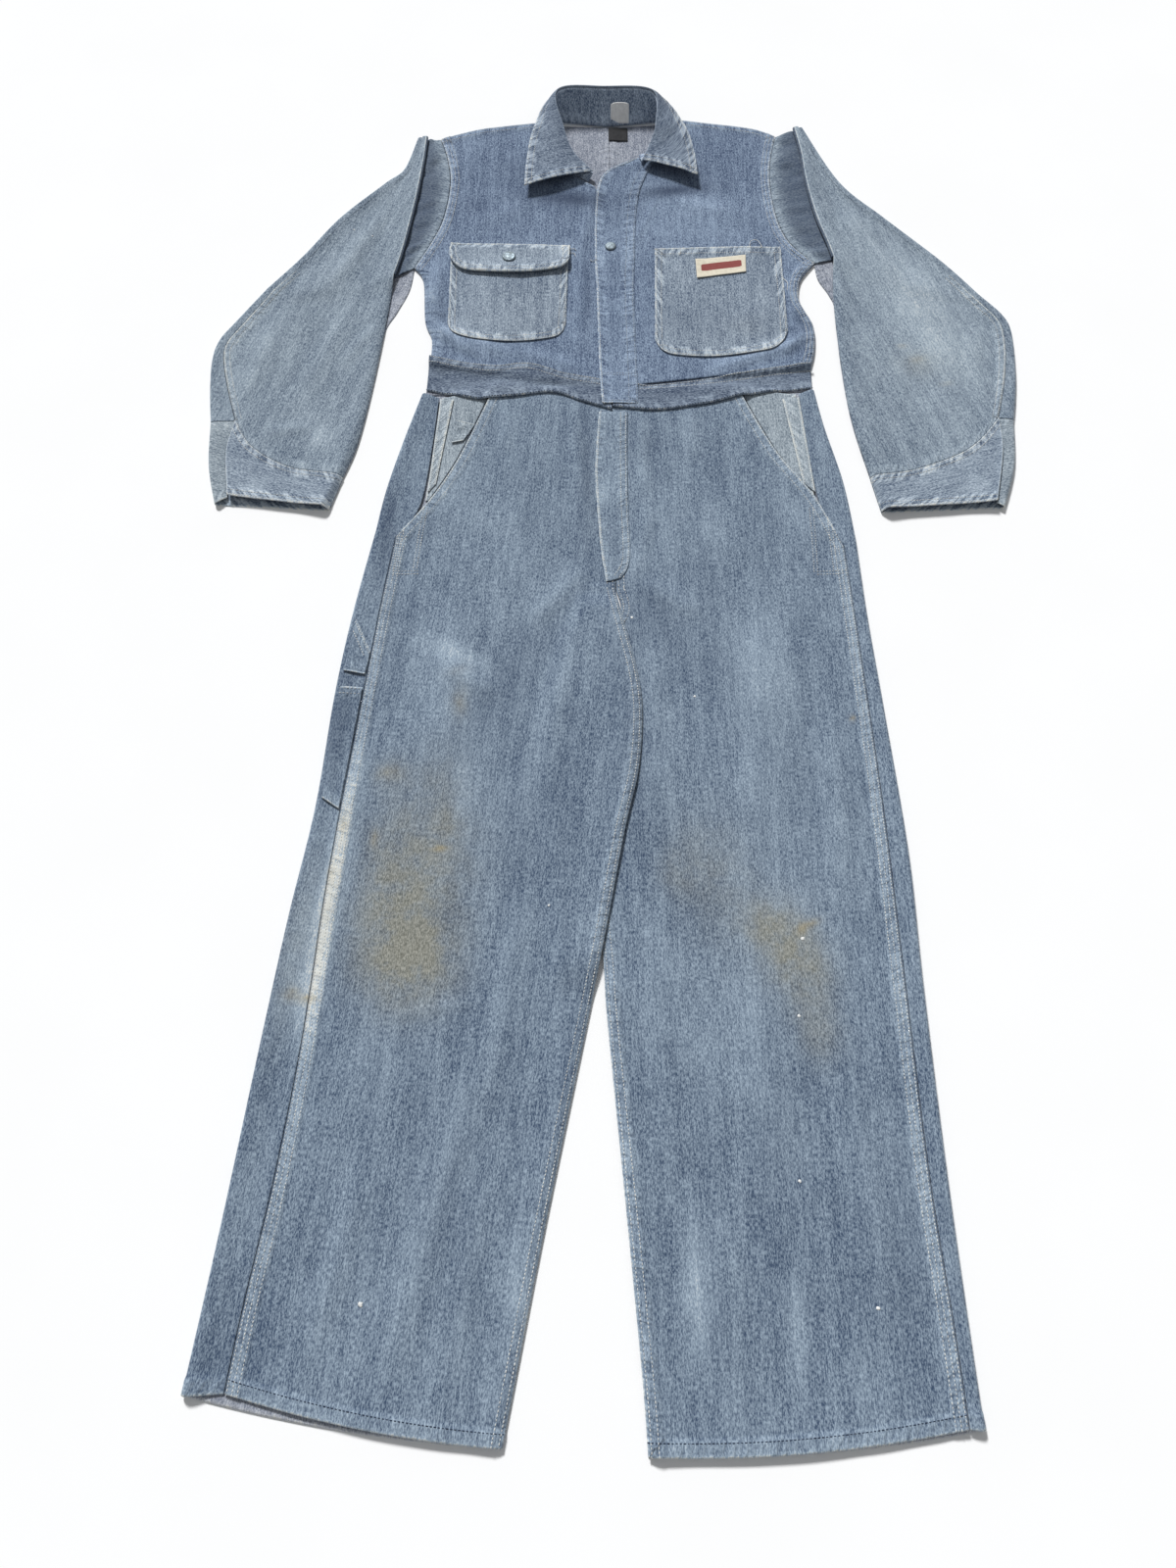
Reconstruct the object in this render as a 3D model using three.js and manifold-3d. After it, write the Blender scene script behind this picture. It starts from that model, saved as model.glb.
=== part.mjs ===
// A denim coverall laid flat on its back: front closed, sleeves down at the sides, collar standing.
// Millimetres, +Z up. +Y runs from the hems to the collar and +X to the wearer's left.
//
// Every sewn piece is a sheet of points stretched between its own edges. The sheet is laid at its
// height, carried round a fold where the cloth does that, and then given its thickness.
import * as THREE from 'three';
import Module from 'manifold-3d';
import { mergeVertices } from 'three/addons/utils/BufferGeometryUtils.js';

const { smoothstep } = THREE.MathUtils;

// ---- driving dimensions ----
const CLOTH = 1.2; // one layer of denim
const DOUBLE = 2.4; // cloth turned on itself: hems, waistband, collar
const SEAM_GAP = 0.3; // between pieces that are sewn edge to edge
const LAYER_GAP = 0.5; // between a piece and the patch that lies on it
const FOLD_RADIUS = 3; // of the cloth where it turns over at the sides
const FOLD_FADE = 14; // how far in from a fold its swelling dies away
const EDGE_SWELL = 2.6; // soft swelling just inside an edge that is pressed flat
const EDGE_REACH = 8; // where that swelling is highest
const HEM_DEPTH = 13; // turned up at the foot of each leg
const CENTRE_X = 29; // line where left and right pieces meet
const PLAN_CENTRE = [31, 720]; // middle of the whole outline

const BACK_Z = CLOTH / 2; // middle of the back's cloth, lying on the ground
const PINCH_Z = BACK_Z + CLOTH + SEAM_GAP; // lowest that the front can lie
const FRONT_Z = PINCH_Z + 0.5; // where the front lies in the open
const CHEST_BUTTON = { radius: 8.5, height: 3 };
const SNAP = { radius: 7, height: 2.6 };

const DENIM = { color: 0x7b8ca6, roughness: 0.9 };
const PALE_DENIM = { color: 0x94a3b3, roughness: 0.9 };
const DARK_DENIM = { color: 0x5b6c8c, roughness: 0.9 };
const METAL = { color: 0xb9bbb4, roughness: 0.45, metalness: 0.8 };
const CREAM = { color: 0xe9e3cf, roughness: 0.8 };
const WHITE = { color: 0xf2f2ee, roughness: 0.8 };
const BLACK = { color: 0x23242a, roughness: 0.85 };

// ---- the largest folds, each a long soft ridge from one end to the other ----
const FOLDS = [
  { from: [-206, 1198], to: [-190, 1148], height: 4, width: 9 }, // below the right armpit
  { from: [-203, 1118], to: [-95, 1076], height: 5, width: 11 }, // across the right waist
  { from: [270, 1192], to: [263, 1130], height: 4, width: 9 }, // below the left armpit
  { from: [276, 1096], to: [150, 1050], height: 4, width: 10 }, // across the left waist
  { from: [-110, 190], to: [-172, -60], height: 3, width: 18 }, // pressed line, right shin
  { from: [155, 310], to: [175, 130], height: 3, width: 18 }, // pressed line, left shin
  { from: [-150, 700], to: [-120, 420], height: 4, width: 32 }, // right thigh
  { from: [190, 690], to: [170, 450], height: 4, width: 32 }, // left thigh
  { from: [-330, 1230], to: [-400, 1040], height: 3, width: 28 }, // right sleeve
  { from: [400, 1210], to: [455, 1040], height: 3, width: 28 }, // left sleeve
];

function ridge(x, y, { from, to, height, width }) {
  const along = new THREE.Vector2(to[0] - from[0], to[1] - from[1]);
  const length = along.length();
  along.divideScalar(length);
  const offset = new THREE.Vector2(x - from[0], y - from[1]);
  const t = offset.dot(along) / length;
  const across = offset.cross(along);
  const ends = smoothstep(t, -0.15, 0.3) * (1 - smoothstep(t, 0.7, 1.15));
  return height * ends * Math.exp(-((across / width) ** 2));
}

// The right thigh's inner edge rides up over the left thigh, its front a little before its back.
const THIGH_LIFT = 4.8;
const LIFT_LEAD = 24;
const leftThighHidden = [[15, 306], [11, 350], [4, 420], [0, 500], [6, 600], [22, 675], [36, 707]];

function thighLift(x, y) {
  const reach = smoothstep(y, 270, 315) * (1 - smoothstep(y, 706, 733));
  const after = leftThighHidden.findIndex((point) => point[1] > y);
  const [x0, y0] = leftThighHidden[Math.max(after - 1, 0)];
  const [x1, y1] = leftThighHidden[Math.max(after, 1)];
  const edge = THREE.MathUtils.mapLinear(y, y0, y1, x0, x1);
  return THIGH_LIFT * reach * smoothstep(x, edge - 34, edge - 12);
}

const lying = (x, y) => FRONT_Z + FOLDS.reduce((sum, fold) => sum + ridge(x, y, fold), 0);

// ---- edges, sheets and walls ----

// An edge of a piece in plan: one smooth stretch, or several that meet at corners.
function rail(...stretches) {
  const curves = stretches.map((points) => new THREE.SplineCurve(points.map((p) => new THREE.Vector2(...p))));
  return (t) => {
    const s = Math.min(t * curves.length, curves.length - 1e-9);
    const k = Math.floor(s);
    return curves[k].getPointAt(s - k);
  };
}

const evenly = (n) => Array.from({ length: n + 1 }, (_, i) => i / n);

// Stations of a piece whose edges have several stretches, with a given number of steps in each.
function stations(...steps) {
  const list = steps.flatMap((n, k) => evenly(n).slice(0, n).map((t) => (k + t) / steps.length));
  return [...list, 1];
}

// A sheet between four edges. Left and right run the same way, and so do bottom and top.
// height(spot) is given the place, the row and how far it is from the left and right edges.
function sheet({ left, right, bottom, top, columns, rows, height }) {
  const corners = [left(0), right(0), left(1), right(1)];
  const low = bottom ?? ((u) => corners[0].clone().lerp(corners[1], u));
  const high = top ?? ((u) => corners[2].clone().lerp(corners[3], u));
  return rows.map((v) => {
    const [l, r] = [left(v), right(v)];
    const row = columns.map((u) => {
      const [b, t] = [low(u), high(u)];
      const blend = (axis) => (1 - v) * b[axis] + v * t[axis] + (1 - u) * l[axis] + u * r[axis]
        - (1 - v) * ((1 - u) * corners[0][axis] + u * corners[1][axis])
        - v * ((1 - u) * corners[2][axis] + u * corners[3][axis]);
      return new THREE.Vector3(blend('x'), blend('y'), 0);
    });
    const first = row[0].clone();
    const last = row[row.length - 1].clone();
    row.forEach((p) => {
      p.z = height({ x: p.x, y: p.y, v, fromLeft: p.distanceTo(first), fromRight: p.distanceTo(last) });
    });
    return row;
  });
}

// Gives a sheet its thickness and closes it all round.
function wall(grid, thickness = CLOTH) {
  const rows = grid.length;
  const columns = grid[0].length;
  const at = (j, i) => grid[Math.min(Math.max(j, 0), rows - 1)][Math.min(Math.max(i, 0), columns - 1)];
  const faces = [[], []];
  for (let j = 0; j < rows; j++) {
    const half = (typeof thickness === 'number' ? thickness : thickness(j)) / 2;
    for (let i = 0; i < columns; i++) {
      const across = at(j, i + 1).clone().sub(at(j, i - 1));
      const along = at(j + 1, i).clone().sub(at(j - 1, i));
      const normal = across.cross(along).normalize();
      faces[0].push(grid[j][i].clone().addScaledVector(normal, half));
      faces[1].push(grid[j][i].clone().addScaledVector(normal, -half));
    }
  }
  const points = [...faces[0], ...faces[1]];
  const index = [];
  const under = rows * columns;
  const quad = (a, b, c, d) => index.push(a, b, c, a, c, d);
  const id = (j, i) => j * columns + i;
  for (let j = 0; j < rows - 1; j++) {
    for (let i = 0; i < columns - 1; i++) {
      quad(id(j, i), id(j, i + 1), id(j + 1, i + 1), id(j + 1, i));
      quad(under + id(j, i), under + id(j + 1, i), under + id(j + 1, i + 1), under + id(j, i + 1));
    }
  }
  for (let i = 0; i < columns - 1; i++) {
    quad(under + id(0, i), under + id(0, i + 1), id(0, i + 1), id(0, i));
    quad(under + id(rows - 1, i + 1), under + id(rows - 1, i), id(rows - 1, i), id(rows - 1, i + 1));
  }
  for (let j = 0; j < rows - 1; j++) {
    quad(under + id(j + 1, 0), under + id(j, 0), id(j, 0), id(j + 1, 0));
    quad(under + id(j, columns - 1), under + id(j + 1, columns - 1), id(j + 1, columns - 1), id(j, columns - 1));
  }
  const geometry = new THREE.BufferGeometry().setFromPoints(points);
  geometry.setIndex(index);
  return outward(geometry);
}

// Turns a closed geometry's faces outwards.
function outward(geometry) {
  const position = geometry.getAttribute('position');
  const index = geometry.getIndex().array;
  const [a, b, c] = [new THREE.Vector3(), new THREE.Vector3(), new THREE.Vector3()];
  let volume = 0;
  for (let k = 0; k < index.length; k += 3) {
    a.fromBufferAttribute(position, index[k]);
    b.fromBufferAttribute(position, index[k + 1]);
    c.fromBufferAttribute(position, index[k + 2]);
    volume += a.dot(b.cross(c));
  }
  if (volume < 0) {
    geometry.setIndex(Array.from(index).reverse());
  }
  geometry.computeVertexNormals();
  return geometry;
}

// Carries a back sheet round its outer fold, its first column, and on over the top to the side seam.
function wrapOver(grid, seam, rows) {
  const turns = [0.25, 0.5, 0.75, 1];
  const strip = [0.5, 1];
  const edge = (k) => grid[Math.min(Math.max(k, 0), grid.length - 1)][0];
  return grid.map((row, j) => {
    const start = row[0];
    const along = edge(j + 1).clone().sub(edge(j - 1));
    const out = new THREE.Vector3(along.y, -along.x, 0).setLength(FOLD_RADIUS);
    if (out.dot(row[1].clone().sub(start)) > 0) {
      out.negate();
    }
    const end = seam(rows[j]);
    const flat = new THREE.Vector3(end.x - start.x, end.y - start.y, 0);
    flat.setLength(flat.length() - 2 * SEAM_GAP);
    const round = turns.map((t) => start.clone()
      .addScaledVector(out, Math.sin(Math.PI * t))
      .setZ(start.z + FOLD_RADIUS * (1 - Math.cos(Math.PI * t))));
    const over = strip.map((t) => {
      const p = start.clone().addScaledVector(flat, t);
      return p.setZ(foldTop(p.x, p.y, flat.length() * t, start.z));
    });
    return [...[...round, ...over].reverse(), ...row];
  });
}

// Height of the upper cloth at some distance in from a fold.
function foldTop(x, y, distance, backZ = BACK_Z) {
  const base = lying(x, y);
  return base + (backZ + 2 * FOLD_RADIUS - base) * Math.exp(-((distance / FOLD_FADE) ** 2));
}

// Height of the upper cloth at some distance in from an edge that is pressed flat on the back.
function pressedEdge(x, y, distance, swell = EDGE_SWELL) {
  const reach = distance / EDGE_REACH;
  return PINCH_Z + (lying(x, y) - PINCH_Z) * (1 - Math.exp(-reach)) + swell * reach * Math.exp(1 - reach);
}

// The top of the highest of some pieces over a place, read from their own flat facets.
function topOf(pieces, x, y) {
  let best = -Infinity;
  const spot = new THREE.Vector2(x, y);
  const test = (a, b, c, half) => {
    const ab = new THREE.Vector2(b.x - a.x, b.y - a.y);
    const ac = new THREE.Vector2(c.x - a.x, c.y - a.y);
    const ap = spot.clone().sub(a);
    const area = ab.cross(ac);
    const s = ap.cross(ac) / area;
    const t = ab.cross(ap) / area;
    if (s >= 0 && t >= 0 && s + t <= 1) {
      best = Math.max(best, a.z + s * (b.z - a.z) + t * (c.z - a.z) + half);
    }
  };
  for (const { grid, thickness } of pieces) {
    for (let j = 0; j < grid.length - 1; j++) {
      for (let i = 0; i < grid[0].length - 1; i++) {
        test(grid[j][i], grid[j][i + 1], grid[j + 1][i + 1], thickness / 2);
        test(grid[j][i], grid[j + 1][i + 1], grid[j + 1][i], thickness / 2);
      }
    }
  }
  return best;
}

// Height of a patch that lies on other pieces: clear of the highest cloth close round each point.
function layOn(pieces, thickness = CLOTH, reach = 6) {
  const steps = [-1, -0.5, 0, 0.5, 1];
  const around = steps.flatMap((a) => steps.map((b) => [a * reach, b * reach]));
  return ({ x, y }) => {
    const top = Math.max(...around.map(([dx, dy]) => topOf(pieces, x + dx, y + dy)));
    return (Number.isFinite(top) ? top : FRONT_Z + CLOTH / 2) + LAYER_GAP + thickness / 2;
  };
}

// ---- the finished object ----
const garment = new THREE.Group();
garment.position.set(-PLAN_CENTRE[0], -PLAN_CENTRE[1], 0);

function add(name, geometry, look) {
  const mesh = new THREE.Mesh(geometry, new THREE.MeshStandardMaterial(look));
  mesh.name = name;
  garment.add(mesh);
}

// Adds a cloth piece and gives back what the pieces that lie on it need to know.
function addCloth(name, grid, look = DENIM, thickness = CLOTH, walls = thickness) {
  add(name, wall(grid, walls), look);
  return { grid, thickness };
}

// ---- outline of the laid garment, shared by the pieces that meet along it ----
const EDGES = {
  right: {
    side: [[-193, 1060], [-193, 1100], [-203, 1131], [-209, 1198], [-222, 1222]],
    armhole: [[-222, 1222], [-203, 1266], [-189, 1311], [-183, 1375], [-189, 1423], [-200, 1462]],
    shoulder: [[-200, 1462], [-145, 1481], [-56, 1496]],
    frontNeck: [[-56, 1496], [-53, 1450], [-32, 1405], [8, 1368]],
    backNeck: [[-56, 1496], [-35, 1492], [CENTRE_X - SEAM_GAP / 2, 1489]],
  },
  left: {
    side: [[272, 1056], [279, 1085], [280, 1123], [266, 1164], [270, 1200], [290, 1230]],
    armhole: [[290, 1230], [261, 1266], [247, 1311], [242, 1375], [246, 1423], [255, 1467]],
    shoulder: [[255, 1467], [215, 1485], [114, 1500]],
    frontNeck: [[114, 1500], [112, 1455], [96, 1428], [66, 1420]],
    backNeck: [[114, 1500], [93, 1494], [CENTRE_X + SEAM_GAP / 2, 1489]],
  },
};
const ARMHOLE_STEPS = 6;
const SIDE_STEPS = 4;

// ---- bodice ----
const BACK_WAIST_Y = 1058.2; // where the centre back seam meets the waistband
const FRONT_WAIST_Y = 1024; // where the bodice fronts end under the waistband

function bodiceBack(hand) {
  const edge = EDGES[hand];
  const [centreX, neckY] = edge.backNeck[2];
  return sheet({
    left: rail(edge.side, edge.armhole),
    right: rail([[centreX, BACK_WAIST_Y], [centreX, neckY]]),
    top: rail(edge.shoulder, edge.backNeck),
    columns: stations(2, 2),
    rows: stations(SIDE_STEPS, ARMHOLE_STEPS),
    height: () => BACK_Z,
  });
}

function bodiceFront(hand, centreTop) {
  const edge = EDGES[hand];
  const centreX = CENTRE_X + (hand === 'right' ? -1 : 1);
  return sheet({
    left: rail(edge.side, edge.armhole),
    right: rail([[centreX, FRONT_WAIST_Y], [centreX, 1200], ...centreTop]),
    top: rail(edge.shoulder, edge.frontNeck),
    columns: [0, 0.06, 0.16, 0.32, 0.5, 0.66, 0.82, 1],
    rows: stations(SIDE_STEPS, ARMHOLE_STEPS),
    height: ({ x, y, fromLeft }) => pressedEdge(x, y, fromLeft, y < 1215 ? EDGE_SWELL : 0),
  });
}

addCloth('bodice_back_right', bodiceBack('right'));
addCloth('bodice_back_left', bodiceBack('left'));
const frontRight = addCloth('bodice_front_right', bodiceFront('right', [[CENTRE_X - 3, 1320], [8, 1368]]));
const frontLeft = addCloth('bodice_front_left', bodiceFront('left', [[CENTRE_X + 3, 1330], [66, 1420]]));

// ---- legs ----
// Each leg has a stretch from the hem to the crotch and a stretch from the crotch to the waist.
const LEGS = {
  right: {
    fold: rail(
      [[-333, -60], [-318, 70], [-301, 237], [-288, 357], [-273, 472], [-265, 600], [-254, 702], [-237, 812]],
      [[-237, 812], [-229, 870], [-214, 940], [-196, 1012]],
    ),
    inner: rail(
      [[-70, -98], [-60, -45], [-34, 90], [11, 308], [37, 445], [52, 512], [57, 578], [52, 630], [36, 704], [30.4, 734]],
      [[30.4, 734], [CENTRE_X - SEAM_GAP / 2, 1014.8]],
    ),
    seam: [[-301, -58], [-294, 3], [-278, 115], [-266, 237], [-259, 357], [-250, 472], [-230, 687], [-217, 804]],
    slant: [[-217, 804], [-181, 855], [-150, 918], [-113, 1022]],
    backEdge: [[-217, 804], [-190, 855], [-178, 1006]],
    hemBow: 6,
  },
  left: {
    fold: rail(
      [[322, -85], [320, -42], [316, 115], [315, 293], [316, 424], [308, 590], [302, 700], [299, 800]],
      [[299, 800], [292, 880], [277, 960], [269, 1018]],
    ),
    inner: rail(
      [[49, -104], [45, -42], [31, 115], [18, 256], ...leftThighHidden, [31, 734]],
      [[31, 734], [CENTRE_X + SEAM_GAP / 2, 1014.8]],
    ),
    seam: [[312, -84], [309, -4], [303, 115], [301, 293], [299, 478], [293, 662], [288, 790]],
    slant: [[288, 790], [260, 859], [219, 927], [180, 1022]],
    backEdge: [[288, 790], [264, 856], [253, 1012]],
    hemBow: 7,
  },
};
const HEM_ROWS = 2;
const LEG_LENGTH = 840;
const HEM_STATIONS = [0, HEM_DEPTH / LEG_LENGTH, (HEM_DEPTH + 3) / LEG_LENGTH];
const SHIN_STATIONS = [0.18, 0.35, 0.44, 0.52, 0.6, 0.7, 0.8, 0.9, 0.965];
const LEG_ROWS = [
  ...[...HEM_STATIONS, ...SHIN_STATIONS].map((t) => t / 2),
  ...evenly(3).map((t) => 0.5 + t / 2),
];
const LEG_COLUMNS = [0, 0.06, 0.16, 0.32, 0.5, 0.64, 0.74, 0.82, 0.9, 1];
const BACK_COLUMNS = [0, 0.35, 0.64, 0.78, 0.87, 0.94, 1];
const hemThickness = (j) => (j < HEM_ROWS ? DOUBLE : CLOTH);
const inHem = (v) => v * 2 <= HEM_STATIONS[1] + 1e-6;

// The hem bows a little towards the foot.
function bowed(left, right, bow) {
  return (u) => left(0).clone().lerp(right(0), u).add(new THREE.Vector2(0, -4 * bow * u * (1 - u)));
}

function legBack(hand) {
  const leg = LEGS[hand];
  const lift = hand === 'right' ? thighLift : () => 0;
  const flat = sheet({
    left: leg.fold,
    right: leg.inner,
    bottom: bowed(leg.fold, leg.inner, leg.hemBow),
    columns: BACK_COLUMNS,
    rows: LEG_ROWS,
    height: ({ x, y, v }) => (inHem(v) ? DOUBLE / 2 : BACK_Z) + lift(x, y),
  });
  return wrapOver(flat, rail(leg.seam, leg.backEdge), LEG_ROWS);
}

function legFront(hand) {
  const leg = LEGS[hand];
  const seam = rail(leg.seam, leg.slant);
  const lift = hand === 'right' ? thighLift : () => 0;
  const hemLift = DOUBLE + SEAM_GAP + DOUBLE / 2;
  return sheet({
    left: seam,
    right: leg.inner,
    bottom: bowed(seam, leg.inner, leg.hemBow),
    columns: LEG_COLUMNS,
    rows: LEG_ROWS,
    height: ({ x, y, v, fromLeft, fromRight }) => {
      const outside = leg.fold(v).distanceTo(seam(v)) + fromLeft;
      const swell = hand === 'right' || y < 300 ? EDGE_SWELL : 0;
      const atSeam = foldTop(x, y, outside) - lying(x, y);
      const pocketMouth = 1.9 * smoothstep(y, 790, 830) * Math.exp(-((fromLeft / 26) ** 2));
      const open = y < 740 ? pressedEdge(x, y, fromRight, swell) : lying(x, y);
      const z = open + atSeam + pocketMouth + lift(x + LIFT_LEAD, y);
      return inHem(v) ? Math.max(z, hemLift) : z;
    },
  });
}

const LEG_PIECES = {};
for (const hand of ['right', 'left']) {
  LEG_PIECES[hand] = [
    addCloth(`leg_back_${hand}`, legBack(hand), DENIM, CLOTH, hemThickness),
    addCloth(`leg_front_${hand}`, legFront(hand), DENIM, CLOTH, hemThickness),
  ];
}

// ---- pocket facings and hemmed side openings, beside the slanted pocket mouths ----
function facing(hand) {
  const { backEdge, slant } = LEGS[hand];
  const inward = hand === 'right' ? 1 : -1;
  const outer = backEdge.slice(1).map(([x, y]) => [x + 3 * inward, y]);
  const inner = [slant[1], slant[2], slant[3]].map(([x, y]) => [x - 3 * inward, y]);
  return sheet({
    left: rail(outer),
    right: rail(inner),
    columns: evenly(3),
    rows: evenly(5),
    height: ({ x, y }) => lying(x, y),
  });
}

const OPENING_STRIPS = {
  right: { left: [[-185, 866], [-177, 1003]], right: [[-176, 878], [-161, 1003]] },
  left: { left: [[262, 866], [253, 1006]], right: [[249, 880], [233, 1003]] },
};

for (const hand of ['right', 'left']) {
  const pocketFacing = addCloth(`pocket_facing_${hand}`, facing(hand), PALE_DENIM);
  const strip = addCloth(`side_opening_strip_${hand}`, sheet({
    left: rail(OPENING_STRIPS[hand].left),
    right: rail(OPENING_STRIPS[hand].right),
    columns: evenly(1),
    rows: evenly(5),
    height: layOn([...LEG_PIECES[hand], pocketFacing]),
  }), PALE_DENIM);
  LEG_PIECES[hand].push(pocketFacing, strip);
}

addCloth('watch_pocket', sheet({
  left: rail([[-161, 938], [-157, 972]]),
  right: rail([[-147, 942], [-134, 966]]),
  columns: evenly(2),
  rows: evenly(2),
  height: layOn(LEG_PIECES.right),
}), PALE_DENIM);

// ---- tool pocket on the back of the right leg, as far as it comes round to the top ----
const toolPocket = [
  ['tool_pocket_lower', [[-270, 480], [-262, 609]], [[-252, 468], [-239, 609]]],
  ['tool_pocket_upper', [[-261, 628], [-252, 692]], [[-238, 625], [-234, 652]]],
];
for (const [name, outer, inner] of toolPocket) {
  addCloth(name, sheet({
    left: rail(outer),
    right: rail(inner),
    columns: evenly(2),
    rows: evenly(4),
    height: layOn(LEG_PIECES.right.slice(0, 1), CLOTH, 3),
  }));
}

// ---- waistband ----
// Behind, it is a strip between the bodice and the legs. In front it lies over their edges.
addCloth('waistband_back', sheet({
  left: rail([[-196, 1012 + SEAM_GAP], [-193, 1060 - SEAM_GAP]]),
  right: rail([[269, 1018 + SEAM_GAP], [272, 1056 - SEAM_GAP]]),
  columns: evenly(4),
  rows: evenly(1),
  height: () => BACK_Z,
}), DARK_DENIM);

const BANDS = {
  right: {
    top: [[-194, 1070], [-120, 1056], [-72, 1060], [-30, 1045], [CENTRE_X - SEAM_GAP, 1032]],
    foot: [[-195, 1020], [-124, 1004], [-47, 1014], [-10, 1002], [CENTRE_X - SEAM_GAP, 988]],
  },
  left: {
    top: [[CENTRE_X + SEAM_GAP, 1036], [71, 1028], [143, 1038], [215, 1051], [272, 1059]],
    foot: [[CENTRE_X + SEAM_GAP, 992], [82, 987], [141, 997], [201, 1012], [271, 1023]],
  },
};
const bands = Object.entries(BANDS).map(([hand, { top, foot }]) => addCloth(`waistband_front_${hand}`, sheet({
  left: rail([foot[0], top[0]]),
  right: rail([foot[foot.length - 1], top[top.length - 1]]),
  bottom: rail(foot),
  top: rail(top),
  columns: evenly(12),
  rows: evenly(3),
  height: layOn([hand === 'right' ? frontRight : frontLeft, ...LEG_PIECES[hand]], DOUBLE, 18),
}), DARK_DENIM, DOUBLE));

// ---- placket and fly ----
const placket = addCloth('front_placket', sheet({
  left: rail([[17, 995], [14, 1048], [11, 1180], [9, 1235], [9, 1300], [13, 1366], [26, 1398], [64, 1422]]),
  right: rail([[60, 995], [60, 1048], [58, 1180], [60, 1240], [62, 1300], [68, 1357], [80, 1396], [92, 1425]]),
  columns: evenly(3),
  rows: [0, 0.05, 0.1, 0.14, 0.24, 0.36, 0.48, 0.6, 0.72, 0.84, 0.92, 0.96, 1],
  height: layOn([frontRight, frontLeft, ...bands], CLOTH, 14),
}), PALE_DENIM);

addCloth('fly', sheet({
  left: rail([[20, 742], [14, 791], [9, 873], [9, 916], [13, 984]]),
  right: rail([[37, 748], [47, 775], [46, 850], [46, 916], [47, 984]]),
  columns: evenly(3),
  rows: evenly(8),
  height: layOn([LEG_PIECES.right[1], LEG_PIECES.left[1]]),
}));

// ---- chest pockets ----
const flapPocket = addCloth('flap_pocket', sheet({
  left: rail([[-174, 1124], [-176, 1252]]),
  right: rail([[-28, 1126], [-25, 1252]]),
  bottom: rail([[-174, 1124], [-166, 1106], [-138, 1096], [-95, 1095], [-48, 1101], [-33, 1110], [-28, 1126]]),
  columns: [0, 0.06, 0.16, 0.33, 0.5, 0.67, 0.84, 0.94, 1],
  rows: evenly(6),
  height: layOn([frontRight]),
}), PALE_DENIM);

const flap = addCloth('flap_pocket_flap', sheet({
  left: rail([[-178, 1240], [-177, 1263]]),
  right: rail([[-24, 1230], [-23, 1258]]),
  bottom: rail([[-178, 1240], [-170, 1222], [-150, 1210], [-95, 1205], [-42, 1212], [-28, 1221], [-24, 1230]]),
  columns: [0, 0.06, 0.16, 0.33, 0.5, 0.67, 0.84, 0.94, 1],
  rows: evenly(3),
  height: layOn([frontRight, flapPocket], DOUBLE, 14),
}), PALE_DENIM, DOUBLE);

const openPocket = addCloth('open_pocket', sheet({
  left: rail([[83, 1098], [86, 1252]]),
  right: rail([[247, 1112], [248, 1256]]),
  bottom: rail([[83, 1098], [92, 1081], [112, 1073], [160, 1071], [218, 1078], [238, 1091], [247, 1112]]),
  columns: [0, 0.06, 0.16, 0.33, 0.5, 0.67, 0.84, 0.94, 1],
  rows: evenly(6),
  height: layOn([frontLeft]),
}), PALE_DENIM);

addCloth('pocket_label', sheet({
  left: rail([[138, 1199], [137, 1231]]),
  right: rail([[201, 1210], [202, 1240]]),
  columns: evenly(3),
  rows: evenly(1),
  height: layOn([openPocket], 1),
}), CREAM, 1);

// ---- sleeves ----
// The cloth of each sleeve head goes out from the armhole seam, doubles back on itself under the
// sleeve and comes up over a free edge, so that the sleeve hangs straight down beside the body.
const SLEEVES = {
  right: {
    fold: [[[-228, 1462], [-243, 1400], [-268, 1371], [-321, 1308], [-364, 1237], [-402, 1183]],
      [[-402, 1183], [-436, 1125], [-452, 1095], [-456, 1062], [-452, 1015], [-445, 968]]],
    strip: [4, 7, 7, 9, 26],
    ridge: [[[-219, 1462], [-221, 1413], [-227, 1338], [-238, 1249], [-246, 1205]],
      [[-246, 1205], [-251, 1131], [-261, 1020], [-272, 937], [-285, 889]]],
    underarm: [[-222, 1222], [-226, 1185], [-239, 1148], [-253, 1110], [-261, 1020], [-272, 937], [-285, 889]],
    cuffSeam: [[-400, 938], [-374, 916], [-344, 901], [-309, 894]],
    vent: [[-424, 925], [-414, 859]],
    cuffFold: [[-439, 905], [-425, 850]],
    cuffInner: [-297, 843],
  },
  left: {
    fold: [[[290, 1482], [332, 1374], [384, 1308], [450, 1229], [491, 1170]],
      [[491, 1170], [514, 1138], [521, 1110], [517, 1050], [510, 1005], [503, 972]]],
    strip: [4, 7, 7, 8, 15],
    ridge: [[[281, 1480], [287, 1432], [290, 1375], [298, 1311], [309, 1262], [314, 1236]],
      [[314, 1236], [309, 1164], [309, 1067], [314, 974], [328, 888]]],
    underarm: [[290, 1230], [293, 1203], [304, 1178], [310, 1150], [309, 1067], [314, 974], [328, 888]],
    cuffSeam: [[457, 937], [426, 916], [377, 897]],
    vent: [[486, 925], [468, 850]],
    cuffFold: [[494, 905], [474, 846]],
    cuffInner: [336, 840],
  },
};
const PLEAT_RADIUS = 1.5; // of the two turns of cloth in the sleeve head
const PLEAT_DEPTH = [1.5, 7, 12, 12, 12, 12, 10]; // how far the cloth goes in under the sleeve
const PLEAT_TOP = FRONT_Z + 4 * PLEAT_RADIUS;
const PLEAT_FADE = 30;
const CUFF_ARCH = 4.6; // how far the upper cuff stands open at its mouth
const SLEEVE_ROWS = stations(ARMHOLE_STEPS, 5);
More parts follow.
